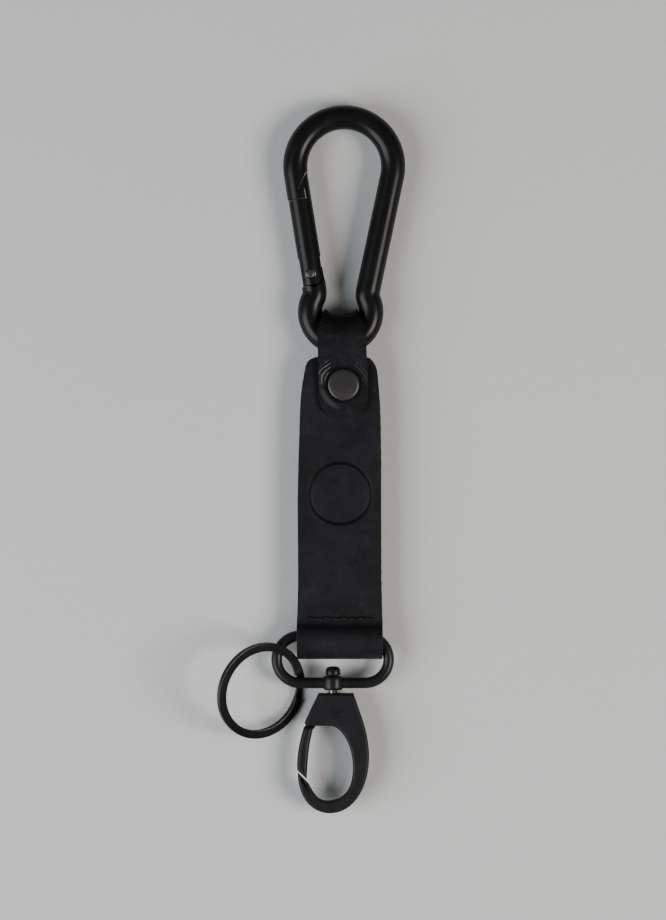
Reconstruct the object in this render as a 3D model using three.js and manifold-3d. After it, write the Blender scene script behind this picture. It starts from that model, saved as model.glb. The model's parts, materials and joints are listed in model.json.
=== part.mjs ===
// Key organiser: a leather strap with a spring carabiner at one end, and a wire
// loop that carries a swivel snap hook and a split ring at the other.
// Millimetres, +Z up, lying on its back; +Y runs towards the carabiner.

import * as THREE from 'three';
import { mergeVertices } from 'three/addons/utils/BufferGeometryUtils.js';
import Module from 'manifold-3d';

const wasm = await Module();
wasm.setup();

// ---------------------------------------------------------------- sizes

// clearances
const fit = 0.3; // gap between pieces that touch
const pinFit = 0.2; // gap round pins and rivets
const through = 20; // reach of a tool that cuts right through

// main strap
const strapLeather = 2.2;
const strapLength = 94.4; // top edge to the outside of the fold
const strapWidth = 26.1;
const strapTopWidth = 21.0; // where the top corners begin
const strapShoulder = 14.0; // length over which the strap reaches its width
const strapCorner = 2.6;
const strapSideBow = 0.2; // bow of the long sides and of the corners
const cornerBow = 0.4;
const neckBelowStitch = 1.4; // where the layers begin to part for the fold
const neckHandle = 2.4; // pull of the fold's curve at its neck and its tip
const tipHandle = 2.8;
const tipShare = 0.6;
const foldTipRoom = 2.4; // inside the fold's tip, beyond the loop's wire at the swing axis
const foldRoom = 1.6; // inside the fold, beyond the height of the loop's wire
const foldWall = 0.7; // least leather left round the loop's room
const markFromTop = 42.5; // top edge to the centre of the pressed disc
const markDiameter = 19.1;
const markGroove = 0.6;
const markDepth = 0.35;

// stitching
const stitchFromFold = 12.8;
const stitchPitch = 2.6;
const stitchCount = 8;
const threadDiameter = 0.7;

// hanger tab
const tabLeather = 1.4;
const tabWidth = 15.2;
const tabNeckWidth = 10.6; // where it passes through the eye
const tabEndRadius = 7.6;
const screwShift = 1.1; // screw from the strap's centreline
const screwFromTop = 8.75; // strap top edge to the binding screw
const tabEndFromScrew = 10.7;
const tabTipPastBar = 9.6; // eye bar centre to the tip of the fold
const tabShoulder = 5.4; // tip of the fold to where the tab begins to narrow
const tabShoulderHandle = 3.2;
const tabNeck = 1.6; // tip of the fold to where the neck is reached
const tabRiseFrom = 2.5; // the tab leaves the strap's face before the strap's top edge
const tabRiseHandle = 3.0;
const tabOverBar = 0.5; // flat stretch over the bar, below and above its centre
const tabFlatPastBar = 3.0;
const tabTipHandle = 6.4;
const tabTipShare = 0.62;

// binding post and screw
const capDiameter = 9.8;
const capThickness = 1.3;
const capChamfer = 0.5;
const barrelDiameter = 5.0;
const threadCore = 3.0;
const slotWidth = 1.2;
const slotDepth = 0.6;

// carabiner
const barDiameter = 7.6;
const eyeRadius = 9.6; // centreline
const bowRadius = 15.3; // centreline
const bowFromEye = 45.6;
const kneeRadius = 4.4; // centreline bend between eye and leg
const eyeShift = 0.2; // eye's centre from the strap's centreline
const barFromStrap = 0.65; // strap top edge to the bar of the eye
const carabinerLean = THREE.MathUtils.degToRad(1.4);
const gateLow = 9.75; // along the leg, from the foot of the eye centre
const gateHigh = 36.6;
const gateDiameter = 7.2;
const rivetAlong = 13.2;
const rivetOffset = -0.4; // from the leg's centreline, + is inwards
const rivetDiameter = 2.9;
const rivetPeen = 0.2; // stands proud of the gate at each end
const tangThickness = 2.4;
const camStart = 2.7; // cam radius on the leg's centreline
const camRise = 1.25; // growth of the cam radius for each radian inwards
const camAngles = [-0.6, 1.2]; // the cam's arc, in radians inwards from the leg
const tangFoot = [-2.4, 2.8, 3.7]; // outer side, inner foot and inner hip of the tang
const gateBore = 3.6;
const gateSlotTop = 5.1; // slot for the tang, up from the rivet
const gateBoreEnd = 4.0; // solid metal above the bore
const gateHeelRound = 2.0;
const gateHeelInset = 0.8; // inner side at the heel, tapering out to the gate's side
const gateHeelTaper = 4.0; // rivet to the end of that taper
const gateHeelChamfer = 0.3;
const plungerRadius = 1.1;
const plungerTop = 6.4; // up from the rivet
const plungerHeadHeight = 1.2;
const gateSpringWire = 0.4;
const gateSpringTurns = 7;
const gateTravel = THREE.MathUtils.degToRad(28);
const barbHeight = 4.6;
const tongueThickness = 1.6;
const clawHeight = 3.4; // gate end to the barb's shoulder
const barbPoint = 0.3; // barb's point from the leg's centreline
const barbLip = 1.4; // inwards from the tongue's reach to the barb's top
const tongueReach = 1.0; // past the gate's side, trimmed by its round

// wire loop
const loopOverStrap = 5.5; // inside length of the loop beyond the strap's width
const loopInside = 11.3; // inside height
const loopWire = 3.4;
const loopShift = -2.3; // centre of the loop from the strap's centreline
const loopPivotDrop = 1.0; // swing axis below the loop's top wire
const bossDiameter = 6.2;
const bossHeight = 4.4;
const bossRound = 0.6;

// snap hook and its swivel
const hookShift = 0.1; // swivel axis from the loop's centre
const hookGap = 1.0; // boss to the hook's top face
const hookLength = 37.4;
const hookNeck = 10.1; // top face to the top of the hook's eye
const hookThickness = 5.2;
const hookBevel = 0.9;
const postDiameter = 2.6;
const postHead = 4.7;
const postHeadHeight = 2.8;
const postDepth = 5.0; // length held in the hook
const hookPinDiameter = 2.0;
const hookTangRadius = 2.0; // gate's lug round its pin
const dimple = { radius: 1.8, depth: 0.25, x: 1.2, y: -5.8 };
const hookSlot = 3.2;
const hookGateThickness = 4.2;
const hookGateBevel = 0.7;
const hookSpringWire = 0.4;
const hookSpringTurns = 2.25;

// split ring
const ringDiameter = 30.8;
const ringBand = 2.6; // radial width of the wire
const ringTurn = 0.8; // thickness of one turn
const ringSpace = 0.12; // between the turns
const ringChamfer = 0.2;
const ringStep = THREE.MathUtils.degToRad(16); // half of the step between the turns
const ringTilt = THREE.MathUtils.degToRad(33.8);
const ringTiltHeading = THREE.MathUtils.degToRad(157.9); // compass of its raised side
const ringHang = THREE.MathUtils.degToRad(229.4); // where on the loop's bend the ring hangs
const ringDrop = new THREE.Vector3(-0.8092, -0.4357, 0.3941); // way that its centre lies from there
const ringPlay = 2.058; // room between the ring's hole and the wire there

// ---------------------------------------------------------------- derived

const strapHalf = strapLeather + fit / 2; // outside of the strap from its mid-plane
const strapTop = screwFromTop;
const strapFold = strapTop - strapLength;
const foldHeight = 2 * strapLeather + loopWire + foldRoom;
const foldDepth = strapLeather + loopWire / 2 + foldTipRoom;
const barRadius = barDiameter / 2;
const eyeCentre = new THREE.Vector2(eyeShift, strapTop + barFromStrap + barRadius + eyeRadius);
const loopHeight = loopInside + 2 * loopWire;
const loopLength = strapWidth + loopOverStrap + 2 * loopWire;
const loopStraight = (loopLength - loopHeight) / 2;
const loopTopY = strapFold + foldDepth + loopPivotDrop;
const loopPivotY = strapFold + foldDepth;
const loopHalf = loopHeight / 2 - loopWire / 2;
const loopBarY = loopTopY - 2 * loopHalf;
const swivelX = loopShift + hookShift;
const hookTopY = loopBarY - bossHeight / 2 - hookGap;
const leafInner = strapHalf + fit;
const leafOverBar = barRadius + fit;
const capSeat = leafInner + tabLeather + fit;

// ---------------------------------------------------------------- helpers

class FlatPath extends THREE.Curve {
  constructor(path) {
    super();
    this.path = path;
  }

  getPoint(t, target = new THREE.Vector3()) {
    const point = this.path.getPoint(t);
    return target.set(point.x, point.y, 0);
  }
}

// a closed three.js geometry as a manifold solid
function solid(geometry, matrix = new THREE.Matrix4()) {
  const bare = new THREE.BufferGeometry();
  bare.setAttribute('position', geometry.attributes.position.clone());
  if (geometry.index) bare.setIndex(geometry.index.clone());
  bare.applyMatrix4(matrix);
  const merged = mergeVertices(bare, 1e-4);
  const position = merged.attributes.position;
  const corners = [new THREE.Vector3(), new THREE.Vector3(), new THREE.Vector3()];
  const triangles = [];
  let volume = 0;
  for (let i = 0; i < merged.index.count; i += 3) {
    const face = [0, 1, 2].map((k) => merged.index.getX(i + k));
    if (face[0] === face[1] || face[1] === face[2] || face[2] === face[0]) continue;
    face.forEach((vertex, k) => corners[k].fromBufferAttribute(position, vertex));
    volume += corners[0].dot(corners[1].clone().cross(corners[2]));
    triangles.push(face);
  }
  const outward = volume > 0 ? triangles : triangles.map((face) => face.reverse());
  return new wasm.Manifold(new wasm.Mesh({
    numProp: 3,
    vertProperties: new Float32Array(position.array),
    triVerts: new Uint32Array(outward.flat()),
  }));
}

function geometryOf(manifold) {
  const mesh = manifold.getMesh();
  const geometry = new THREE.BufferGeometry();
  geometry.setAttribute('position', new THREE.BufferAttribute(mesh.vertProperties, 3));
  geometry.setIndex(new THREE.BufferAttribute(mesh.triVerts, 1));
  geometry.computeVertexNormals();
  return geometry;
}

// an outline in X and Y, from z = -height / 2 to height / 2, with rounded edges
function plate(shape, height, bevel = 0, curveSegments = 8) {
  const geometry = new THREE.ExtrudeGeometry(shape, {
    depth: height - 2 * bevel,
    bevelEnabled: bevel > 0,
    bevelThickness: bevel,
    bevelSize: bevel,
    bevelOffset: -bevel,
    bevelSegments: 2,
    curveSegments,
  });
  return geometry.translate(0, 0, bevel - height / 2);
}

// a round bar along a path
function bar(path, radius, steps, sides = 14) {
  const section = new THREE.Shape();
  section.absarc(0, 0, radius, 0, 2 * Math.PI);
  return new THREE.ExtrudeGeometry(section, {
    extrudePath: path,
    steps,
    curveSegments: sides / 2,
  });
}

// a turned piece from radius and height pairs, standing on Y
function turned(profile, sides = 24) {
  return new THREE.LatheGeometry(profile.map(([r, h]) => new THREE.Vector2(r, h)), sides);
}

// a cylinder between two heights on Z
function zCylinder(radius, low, high, x = 0, y = 0, sides = 24) {
  const geometry = new THREE.CylinderGeometry(radius, radius, high - low, sides);
  geometry.rotateX(Math.PI / 2);
  return geometry.translate(x, y, (low + high) / 2);
}

// a cylinder between two places on Y
function yCylinder(radius, low, high, x = 0, sides = 24) {
  const geometry = new THREE.CylinderGeometry(radius, radius, high - low, sides);
  return geometry.translate(x, (low + high) / 2, 0);
}

function box(x0, x1, y0, y1, z0, z1) {
  const geometry = new THREE.BoxGeometry(x1 - x0, y1 - y0, z1 - z0);
  return geometry.translate((x0 + x1) / 2, (y0 + y1) / 2, (z0 + z1) / 2);
}

function spin(angle, x, y) {
  const turn = new THREE.Matrix4().makeRotationZ(angle);
  const there = new THREE.Matrix4().makeTranslation(x, y, 0);
  const back = new THREE.Matrix4().makeTranslation(-x, -y, 0);
  return there.multiply(turn).multiply(back);
}

// the outline of a strip of even thickness along a curve given in (y, z)
function stripOutline(path, thickness) {
  const points = path.getPoints(10);
  const left = [];
  const right = [];
  points.forEach((point, i) => {
    const before = points[Math.max(i - 1, 0)];
    const after = points[Math.min(i + 1, points.length - 1)];
    const along = after.clone().sub(before).normalize();
    const side = new THREE.Vector2(-along.y, along.x).multiplyScalar(thickness / 2);
    left.push(point.clone().add(side));
    right.push(point.clone().sub(side));
  });
  return new THREE.Shape([...left, ...right.reverse()]);
}

// a strip outline in (y, z) given a width along X
function leatherStrip(path, thickness, width) {
  const geometry = new THREE.ExtrudeGeometry(stripOutline(path, thickness), {
    depth: width,
    bevelEnabled: false,
  });
  geometry.translate(0, 0, -width / 2);
  const axes = new THREE.Matrix4().makeBasis(
    new THREE.Vector3(0, 1, 0),
    new THREE.Vector3(0, 0, 1),
    new THREE.Vector3(1, 0, 0),
  );
  return geometry.applyMatrix4(axes);
}

// a coil spring standing on Y
function coil(radius, wire, turns, length, stepsPerTurn = 8, sides = 6) {
  class Helix extends THREE.Curve {
    getPoint(t, target = new THREE.Vector3()) {
      const angle = 2 * Math.PI * turns * t;
      return target.set(radius * Math.cos(angle), length * t, radius * Math.sin(angle));
    }
  }
  return bar(new Helix(), wire / 2, Math.round(turns * stepsPerTurn), sides);
}

const materials = {
  blackCoat: { color: 0x17181a, roughness: 0.38, metalness: 0.6 },
  leather: { color: 0x1c1a1b, roughness: 0.62, metalness: 0.0 },
  gunmetal: { color: 0x4a4b4d, roughness: 0.35, metalness: 0.9 },
  hookPaint: { color: 0x2a2b2e, roughness: 0.55, metalness: 0.3 },
  thread: { color: 0x121214, roughness: 0.8, metalness: 0.0 },
  steel: { color: 0x8d8f92, roughness: 0.3, metalness: 1.0 },
  ringBlack: { color: 0x101113, roughness: 0.25, metalness: 0.8 },
};

function node(name, shape, look, parent) {
  const geometry = shape.isBufferGeometry ? shape : geometryOf(shape);
  const mesh = new THREE.Mesh(geometry, new THREE.MeshStandardMaterial(materials[look]));
  mesh.name = name;
  parent.add(mesh);
  return mesh;
}

// ---------------------------------------------------------------- strap and stitching

// The room that the loop's top wire sweeps as it swings about its axis. Past the
// straight, the wire bends away, so the room widens towards the strap's side.
function loopSweep() {
  const wire = loopWire / 2 + fit;
  const half = strapWidth / 2;
  const reach = half + 1.5;
  const rows = 16;
  const radii = Array.from({ length: rows + 1 }, (_, i) => {
    const x = -half + (strapWidth * i) / rows;
    const bend = Math.min(Math.max(Math.abs(x - loopShift) - loopStraight, 0), 0.9 * loopHalf);
    const height = Math.sqrt(loopHalf ** 2 - bend ** 2);
    const middle = Math.abs(loopPivotDrop - (loopHalf - height));
    const room = middle + (wire * loopHalf) / height;
    return Math.min(Math.max(room, loopPivotDrop + wire), foldHeight / 2 - foldWall);
  });
  const profile = radii.map((radius, i) => new THREE.Vector2(radius, -half + (strapWidth * i) / rows));
  const geometry = new THREE.LatheGeometry([
    new THREE.Vector2(0, -reach),
    new THREE.Vector2(radii[0], -reach),
    ...profile,
    new THREE.Vector2(radii[rows], reach),
    new THREE.Vector2(0, reach),
  ], 32);
  geometry.rotateZ(-Math.PI / 2);
  return geometry.translate(0, loopPivotY, 0);
}

function strapPlan() {
  const top = strapTopWidth / 2;
  const half = strapWidth / 2;
  const plan = new THREE.Shape();
  plan.moveTo(-half, strapFold - 1);
  plan.lineTo(-half, strapTop - 3 * strapShoulder);
  plan.quadraticCurveTo(-half + strapSideBow, strapTop - strapShoulder, -top, strapTop - strapCorner);
  plan.quadraticCurveTo(-top + cornerBow, strapTop, -top + strapCorner, strapTop);
  plan.lineTo(top - strapCorner, strapTop);
  plan.quadraticCurveTo(top - cornerBow, strapTop, top, strapTop - strapCorner);
  plan.quadraticCurveTo(half - strapSideBow, strapTop - strapShoulder, half, strapTop - 3 * strapShoulder);
  plan.lineTo(half, strapFold - 1);
  plan.closePath();
  return plan;
}

function stitchHoles() {
  const y = strapFold + stitchFromFold;
  const first = -(stitchCount * stitchPitch) / 2;
  return Array.from({ length: stitchCount + 1 }, (_, i) => [first + i * stitchPitch, y]);
}

function mainStrap() {
  const mid = (strapLeather + fit) / 2;
  const bulge = (foldHeight - strapLeather) / 2;
  const tip = strapFold + strapLeather / 2;
  const neck = strapFold + stitchFromFold - neckBelowStitch;
  const path = new THREE.Path();
  path.moveTo(strapTop, mid);
  path.lineTo(neck, mid);
  path.bezierCurveTo(neck - neckHandle, mid, loopPivotY + neckHandle, bulge, loopPivotY, bulge);
  path.bezierCurveTo(loopPivotY - tipHandle, bulge, tip, bulge * tipShare, tip, 0);
  path.bezierCurveTo(tip, -bulge * tipShare, loopPivotY - tipHandle, -bulge, loopPivotY, -bulge);
  path.bezierCurveTo(loopPivotY + neckHandle, -bulge, neck - neckHandle, -mid, neck, -mid);
  path.lineTo(strapTop, -mid);
  let strap = solid(leatherStrip(path, strapLeather, strapWidth + 2));
  strap = strap.intersect(solid(plate(strapPlan(), 2 * foldHeight)));
  strap = strap.subtract(solid(loopSweep()));
  strap = strap.subtract(solid(zCylinder(barrelDiameter / 2 + pinFit, -through, through, screwShift, 0)));
  for (const [x, y] of stitchHoles()) {
    strap = strap.subtract(solid(zCylinder(threadDiameter / 2 + pinFit, -through, through, x, y, 8)));
  }
  const markY = strapTop - markFromTop;
  const groove = solid(zCylinder(markDiameter / 2, strapHalf - markDepth, through, 0, markY, 40))
    .subtract(solid(zCylinder(markDiameter / 2 - markGroove, 0, 2 * through, 0, markY, 40)));
  return strap.subtract(groove);
}

function stitchThread() {
  const rail = strapHalf + pinFit + threadDiameter / 2;
  const half = threadDiameter / 2;
  const holes = stitchHoles();
  let thread = null;
  holes.forEach(([x, y], i) => {
    const link = solid(zCylinder(half, -rail, rail, x, y, 8));
    thread = thread ? thread.add(link) : link;
    if (i === 0) return;
    const start = holes[i - 1][0];
    for (const z of [rail, -rail]) {
      thread = thread.add(solid(box(start - half, x + half, y - half, y + half, z - half, z + half)));
    }
  });
  return thread;
}

// ---------------------------------------------------------------- hanger tab

function tabPlan() {
  const half = tabWidth / 2;
  const neck = tabNeckWidth / 2;
  const end = -tabEndFromScrew;
  const tip = eyeCentre.y - eyeRadius + tabTipPastBar;
  const neckX = eyeCentre.x;
  const plan = new THREE.Shape();
  plan.absarc(screwShift, end + tabEndRadius, tabEndRadius, Math.PI, 2 * Math.PI, false);
  plan.lineTo(screwShift + half, tip - tabShoulder);
  plan.quadraticCurveTo(screwShift + half, tip - tabShoulderHandle, neckX + neck, tip - tabNeck);
  plan.lineTo(neckX + neck, tip + 1);
  plan.lineTo(neckX - neck, tip + 1);
  plan.lineTo(neckX - neck, tip - tabNeck);
  plan.quadraticCurveTo(screwShift - half, tip - tabShoulderHandle, screwShift - half, tip - tabShoulder);
  plan.closePath();
  return plan;
}

function hangerTab() {
  const low = leafInner + tabLeather / 2;
  const high = leafOverBar + tabLeather / 2;
  const barY = eyeCentre.y - eyeRadius;
  const tip = barY + tabTipPastBar - tabLeather / 2;
  const end = -tabEndFromScrew - 1;
  const path = new THREE.Path();
  path.moveTo(end, low);
  path.lineTo(strapTop - tabRiseFrom, low);
  path.bezierCurveTo(strapTop, low, barY - tabRiseHandle, high, barY - tabOverBar, high);
  path.lineTo(barY + tabFlatPastBar, high);
  path.bezierCurveTo(barY + tabTipHandle, high, tip, high * tabTipShare, tip, 0);
  path.bezierCurveTo(tip, -high * tabTipShare, barY + tabTipHandle, -high, barY + tabFlatPastBar, -high);
  path.lineTo(barY - tabOverBar, -high);
  path.bezierCurveTo(barY - tabRiseHandle, -high, strapTop, -low, strapTop - tabRiseFrom, -low);
  path.lineTo(end, -low);
  const eye = new THREE.TorusGeometry(eyeRadius, barRadius + fit, 14, 40);
  eye.translate(eyeCentre.x, eyeCentre.y, 0);
  return solid(leatherStrip(path, tabLeather, 2 * tabWidth))
    .intersect(solid(plate(tabPlan(), 2 * through, 0, 10)))
    .subtract(solid(eye))
    .subtract(solid(zCylinder(barrelDiameter / 2 + pinFit, -through, through, screwShift, 0)));
}

// ---------------------------------------------------------------- binding post and screw

function bindingPost() {
  const cap = capDiameter / 2;
  const top = capSeat + capThickness;
  const end = -capSeat + fit;
  const post = solid(turned([
    [0, end],
    [barrelDiameter / 2, end],
    [barrelDiameter / 2, capSeat],
    [cap, capSeat],
    [cap, top - capChamfer],
    [cap - capChamfer, top],
    [0, top],
  ]));
  const bore = solid(yCylinder(threadCore / 2 + pinFit, end - 1, capSeat - fit));
  return geometryOf(post.subtract(bore)).rotateX(Math.PI / 2);
}

function bindingScrew() {
  const head = capDiameter / 2;
  const bottom = -capSeat - capThickness;
  const screw = solid(turned([
    [0, bottom],
    [head - capChamfer, bottom],
    [head, bottom + capChamfer],
    [head, -capSeat],
    [threadCore / 2, -capSeat],
    [threadCore / 2, capSeat - 3 * fit],
    [0, capSeat - 3 * fit],
  ]));
  const slot = solid(box(-head, head, bottom - 1, bottom + slotDepth, -slotWidth / 2, slotWidth / 2));
  return geometryOf(screw.subtract(slot)).rotateX(Math.PI / 2);
}

// ---------------------------------------------------------------- carabiner

// The legs are tangent to the bow. Angles and tangent points follow from the
// bow's radius and from where the legs meet the eye.
const legAngle = THREE.MathUtils.degToRad(10.5);
const legFromEye = bowRadius - bowFromEye * Math.sin(legAngle);
const kneeAlong = Math.sqrt((eyeRadius + kneeRadius) ** 2 - (legFromEye + kneeRadius) ** 2);

// from the leg's own frame (out from the eye, along the leg) to the carabiner's
function onLeg(out, along, side) {
  return new THREE.Vector2(
    side * (out * Math.cos(legAngle) + along * Math.sin(legAngle)),
    along * Math.cos(legAngle) - out * Math.sin(legAngle),
  );
}

// centreline from the gate hinge round the eye, up the right leg and round the bow
function carabinerPath() {
  const bow = new THREE.Vector2(0, bowFromEye);
  const leftKnee = onLeg(legFromEye + kneeRadius, kneeAlong, -1);
  const rightKnee = onLeg(legFromEye + kneeRadius, kneeAlong, 1);
  const hinge = onLeg(legFromEye, gateLow - fit, -1);
  const nose = onLeg(legFromEye, gateHigh + fit, -1);
  const eyeTurn = Math.atan2(rightKnee.y, rightKnee.x);
  const path = new THREE.Path();
  path.moveTo(hinge.x, hinge.y);
  path.absarc(leftKnee.x, leftKnee.y, kneeRadius, legAngle, -eyeTurn, true);
  path.absarc(0, 0, eyeRadius, Math.PI - eyeTurn, 2 * Math.PI + eyeTurn, false);
  path.absarc(rightKnee.x, rightKnee.y, kneeRadius, Math.PI + eyeTurn, Math.PI - legAngle, true);
  path.absarc(bow.x, bow.y, bowRadius, -legAngle, Math.PI + legAngle, false);
  path.lineTo(nose.x, nose.y);
  return new FlatPath(path);
}

// the gate's own frame stands on the left leg, with X inwards and Y along the leg
const gateFrame = new THREE.Matrix4().makeRotationZ(legAngle)
  .multiply(new THREE.Matrix4().makeTranslation(-legFromEye, 0, 0));

// the barbed tongue at the top of the gate
function tongueOutline(grow = 0) {
  const shoulder = gateHigh + clawHeight;
  const inner = gateDiameter / 2 + tongueReach;
  const root = gateDiameter / 2 - tongueThickness - grow;
  const tongue = new THREE.Shape();
  tongue.moveTo(root, gateHigh - 2);
  tongue.lineTo(inner, gateHigh - 2);
  tongue.lineTo(inner, shoulder + barbHeight + 2 * (barbPoint + grow));
  tongue.lineTo(inner - barbLip - grow, shoulder + barbHeight + 2 * grow);
  tongue.lineTo(barbPoint - grow, shoulder + barbPoint + grow);
  tongue.lineTo(barbPoint - grow, shoulder - grow);
  tongue.lineTo(root, shoulder - grow);
  tongue.closePath();
  return tongue;
}

// the gate's outline seen from the front, grown for the room that it sweeps
function gateOutline(grow = 0) {
  const out = gateDiameter / 2 + grow;
  const low = gateLow - grow;
  const outline = new THREE.Shape();
  outline.moveTo(-out, low + gateHeelChamfer);
  outline.lineTo(-out + gateHeelChamfer, low);
  outline.lineTo(out - gateHeelInset - gateHeelRound, low);
  outline.quadraticCurveTo(out - gateHeelInset, low, out - gateHeelInset, low + gateHeelRound);
  outline.lineTo(out, rivetAlong + gateHeelTaper);
  outline.lineTo(out, gateHigh);
  outline.lineTo(-out, gateHigh);
  outline.closePath();
  return outline;
}

function carabinerBody() {
  let body = solid(bar(carabinerPath(), barRadius, 84, 14));
  // hinge tang with a cam that rises inwards
  const cam = new THREE.Shape();
  const [outside, foot, hip] = tangFoot;
  cam.moveTo(outside, gateLow - 2);
  cam.lineTo(foot, gateLow - 2);
  cam.lineTo(hip, gateLow);
  const [start, end] = camAngles;
  const camSteps = 8;
  for (let i = camSteps; i >= 0; i -= 1) {
    const angle = start + ((end - start) * i) / camSteps;
    const reach = camStart + camRise * angle;
    cam.lineTo(rivetOffset + reach * Math.sin(angle), rivetAlong + reach * Math.cos(angle));
  }
  cam.lineTo(outside, rivetAlong);
  cam.closePath();
  // room that the gate sweeps as it opens, cut from the bar's two ends only
  const sweepSteps = 7;
  for (let i = 0; i <= sweepSteps; i += 1) {
    const turn = spin((-gateTravel * i) / sweepSteps, rivetOffset, rivetAlong);
    const matrix = gateFrame.clone().multiply(turn);
    body = body.subtract(solid(plate(gateOutline(fit), 2 * barDiameter), matrix));
    body = body.subtract(solid(plate(tongueOutline(fit), 2 * barDiameter), matrix));
  }
  body = body.add(solid(plate(cam, tangThickness), gateFrame));
  const hole = zCylinder(rivetDiameter / 2 + pinFit, -through, through, rivetOffset, rivetAlong, 16);
  return body.subtract(solid(hole, gateFrame));
}

function carabinerGate() {
  const round = yCylinder(gateDiameter / 2, gateLow - 2, gateHigh + 12, 0, 20);
  let gate = solid(plate(gateOutline(), 2 * barDiameter, 0, 4))
    .add(solid(plate(tongueOutline(), 2 * barDiameter)))
    .intersect(solid(round));
  const slotTop = rivetAlong + gateSlotTop;
  const slotHalf = tangThickness / 2 + fit;
  gate = gate.subtract(solid(box(-through, through, gateLow - 3, slotTop, -slotHalf, slotHalf)));
  const bore = yCylinder(gateBore / 2, slotTop - 1, gateHigh - gateBoreEnd, rivetOffset, 14);
  gate = gate.subtract(solid(bore));
  const hole = zCylinder(rivetDiameter / 2 + pinFit, -through, through, rivetOffset, rivetAlong, 16);
  return gate.subtract(solid(hole));
}

const plungerLow = rivetAlong + camStart + fit;
const plungerHead = rivetAlong + plungerTop;

function carabinerPlunger() {
  const geometry = turned([
    [0, plungerLow],
    [plungerRadius - 0.4, plungerLow + 0.25],
    [plungerRadius, plungerLow + 1.0],
    [plungerRadius, plungerHead - plungerHeadHeight],
    [gateBore / 2 - fit, plungerHead - plungerHeadHeight],
    [gateBore / 2 - fit, plungerHead],
    [0, plungerHead],
  ], 12);
  return solid(geometry, new THREE.Matrix4().makeTranslation(rivetOffset, 0, 0));
}

function carabinerSpring() {
  const radius = gateBore / 2 - fit - gateSpringWire / 2;
  const low = plungerHead + fit + gateSpringWire / 2;
  const high = gateHigh - gateBoreEnd - fit - gateSpringWire / 2;
  const geometry = coil(radius, gateSpringWire, gateSpringTurns, high - low);
  return solid(geometry.translate(rivetOffset, low, 0));
}

function carabinerRivet() {
  const flush = Math.sqrt(gateDiameter ** 2 - (2 * rivetOffset - rivetDiameter) ** 2) / 2;
  const half = flush + rivetPeen;
  const radius = rivetDiameter / 2;
  const geometry = turned([
    [0, -half - rivetPeen],
    [radius * 0.6, -half - rivetPeen / 2],
    [radius, -half + rivetPeen],
    [radius, half - rivetPeen],
    [radius * 0.6, half + rivetPeen / 2],
    [0, half + rivetPeen],
  ], 16);
  geometry.rotateX(Math.PI / 2);
  return solid(geometry.translate(rivetOffset, rivetAlong, 0));
}

// ---------------------------------------------------------------- loop, post and hook

function swivelLoop() {
  const path = new THREE.Path();
  path.moveTo(hookShift, -loopHalf);
  path.lineTo(loopStraight, -loopHalf);
  path.absarc(loopStraight, 0, loopHalf, -Math.PI / 2, Math.PI / 2, false);
  path.lineTo(-loopStraight, loopHalf);
  path.absarc(-loopStraight, 0, loopHalf, Math.PI / 2, 1.5 * Math.PI, false);
  path.lineTo(hookShift, -loopHalf);
  const half = bossHeight / 2;
  const radius = bossDiameter / 2;
  const boss = turned([
    [0, -half],
    [radius - bossRound, -half],
    [radius, -half + bossRound],
    [radius, half - bossRound],
    [radius - bossRound, half],
    [0, half],
  ], 20).translate(hookShift, -loopHalf, 0);
  const boreRadius = postDiameter / 2 + pinFit;
  const bore = yCylinder(boreRadius, -loopHalf - bossHeight, -loopHalf + bossHeight, hookShift, 16);
  return solid(bar(new FlatPath(path), loopWire / 2, 56, 12))
    .add(solid(boss))
    .subtract(solid(bore));
}

// everything on the hook is measured down from its top face, on the swivel axis
const hookPin = new THREE.Vector2(-5.0, -7.2);

function swivelPost() {
  const low = -postDepth + fit;
  const seat = hookGap + bossHeight + pinFit;
  const head = postHead / 2;
  const radius = postDiameter / 2;
  return solid(turned([
    [0, low],
    [radius, low],
    [radius, seat],
    [head - 0.2, seat],
    [head, seat + 0.4],
    [head, seat + 0.55 * postHeadHeight],
    [head * 0.8, seat + 0.85 * postHeadHeight],
    [head * 0.45, seat + postHeadHeight],
    [0, seat + postHeadHeight],
  ], 20));
}

// a height in the hook's eye, given as its share of the way from the neck to the bottom
function eyeLevel(share) {
  return -hookNeck - share * (hookLength - hookNeck);
}

function hookOutline() {
  const bottom = -hookLength;
  const outline = new THREE.Shape();
  outline.moveTo(-4.5, 0);
  outline.lineTo(-8.9, -hookNeck + 0.8);
  outline.lineTo(-8.1, -hookNeck);
  outline.lineTo(-0.9, -hookNeck);
  outline.bezierCurveTo(2.4, -hookNeck, 5.6, eyeLevel(0.198), 6.1, eyeLevel(0.403));
  outline.bezierCurveTo(6.7, eyeLevel(0.674), 4.6, bottom + 3.8, -1.9, bottom + 3.7);
  outline.bezierCurveTo(-4.6, bottom + 3.7, -5.9, bottom + 5.8, -7.6, bottom + 9.1);
  outline.lineTo(-11.0, bottom + 12.5);
  outline.bezierCurveTo(-11.1, bottom + 6.4, -7.6, bottom, -0.9, bottom);
  outline.bezierCurveTo(6.4, bottom, 11.3, eyeLevel(0.707), 11.3, eyeLevel(0.352));
  outline.bezierCurveTo(11.3, eyeLevel(0.088), 8.6, -0.65 * hookNeck, 6.4, 0);
  outline.closePath();
  return outline;
}

function hookGateOutline() {
  const top = -hookNeck - 0.4;
  const tip = -hookLength + 11.0;
  const outline = new THREE.Shape();
  outline.moveTo(-9.1, top);
  outline.bezierCurveTo(-10.6, eyeLevel(0.198), -11.4, eyeLevel(0.344), -11.2, tip + 2.8);
  outline.lineTo(-8.2, tip);
  outline.bezierCurveTo(-7.9, eyeLevel(0.399), -7.6, eyeLevel(0.209), -6.0, top);
  outline.closePath();
  return outline;
}

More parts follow.
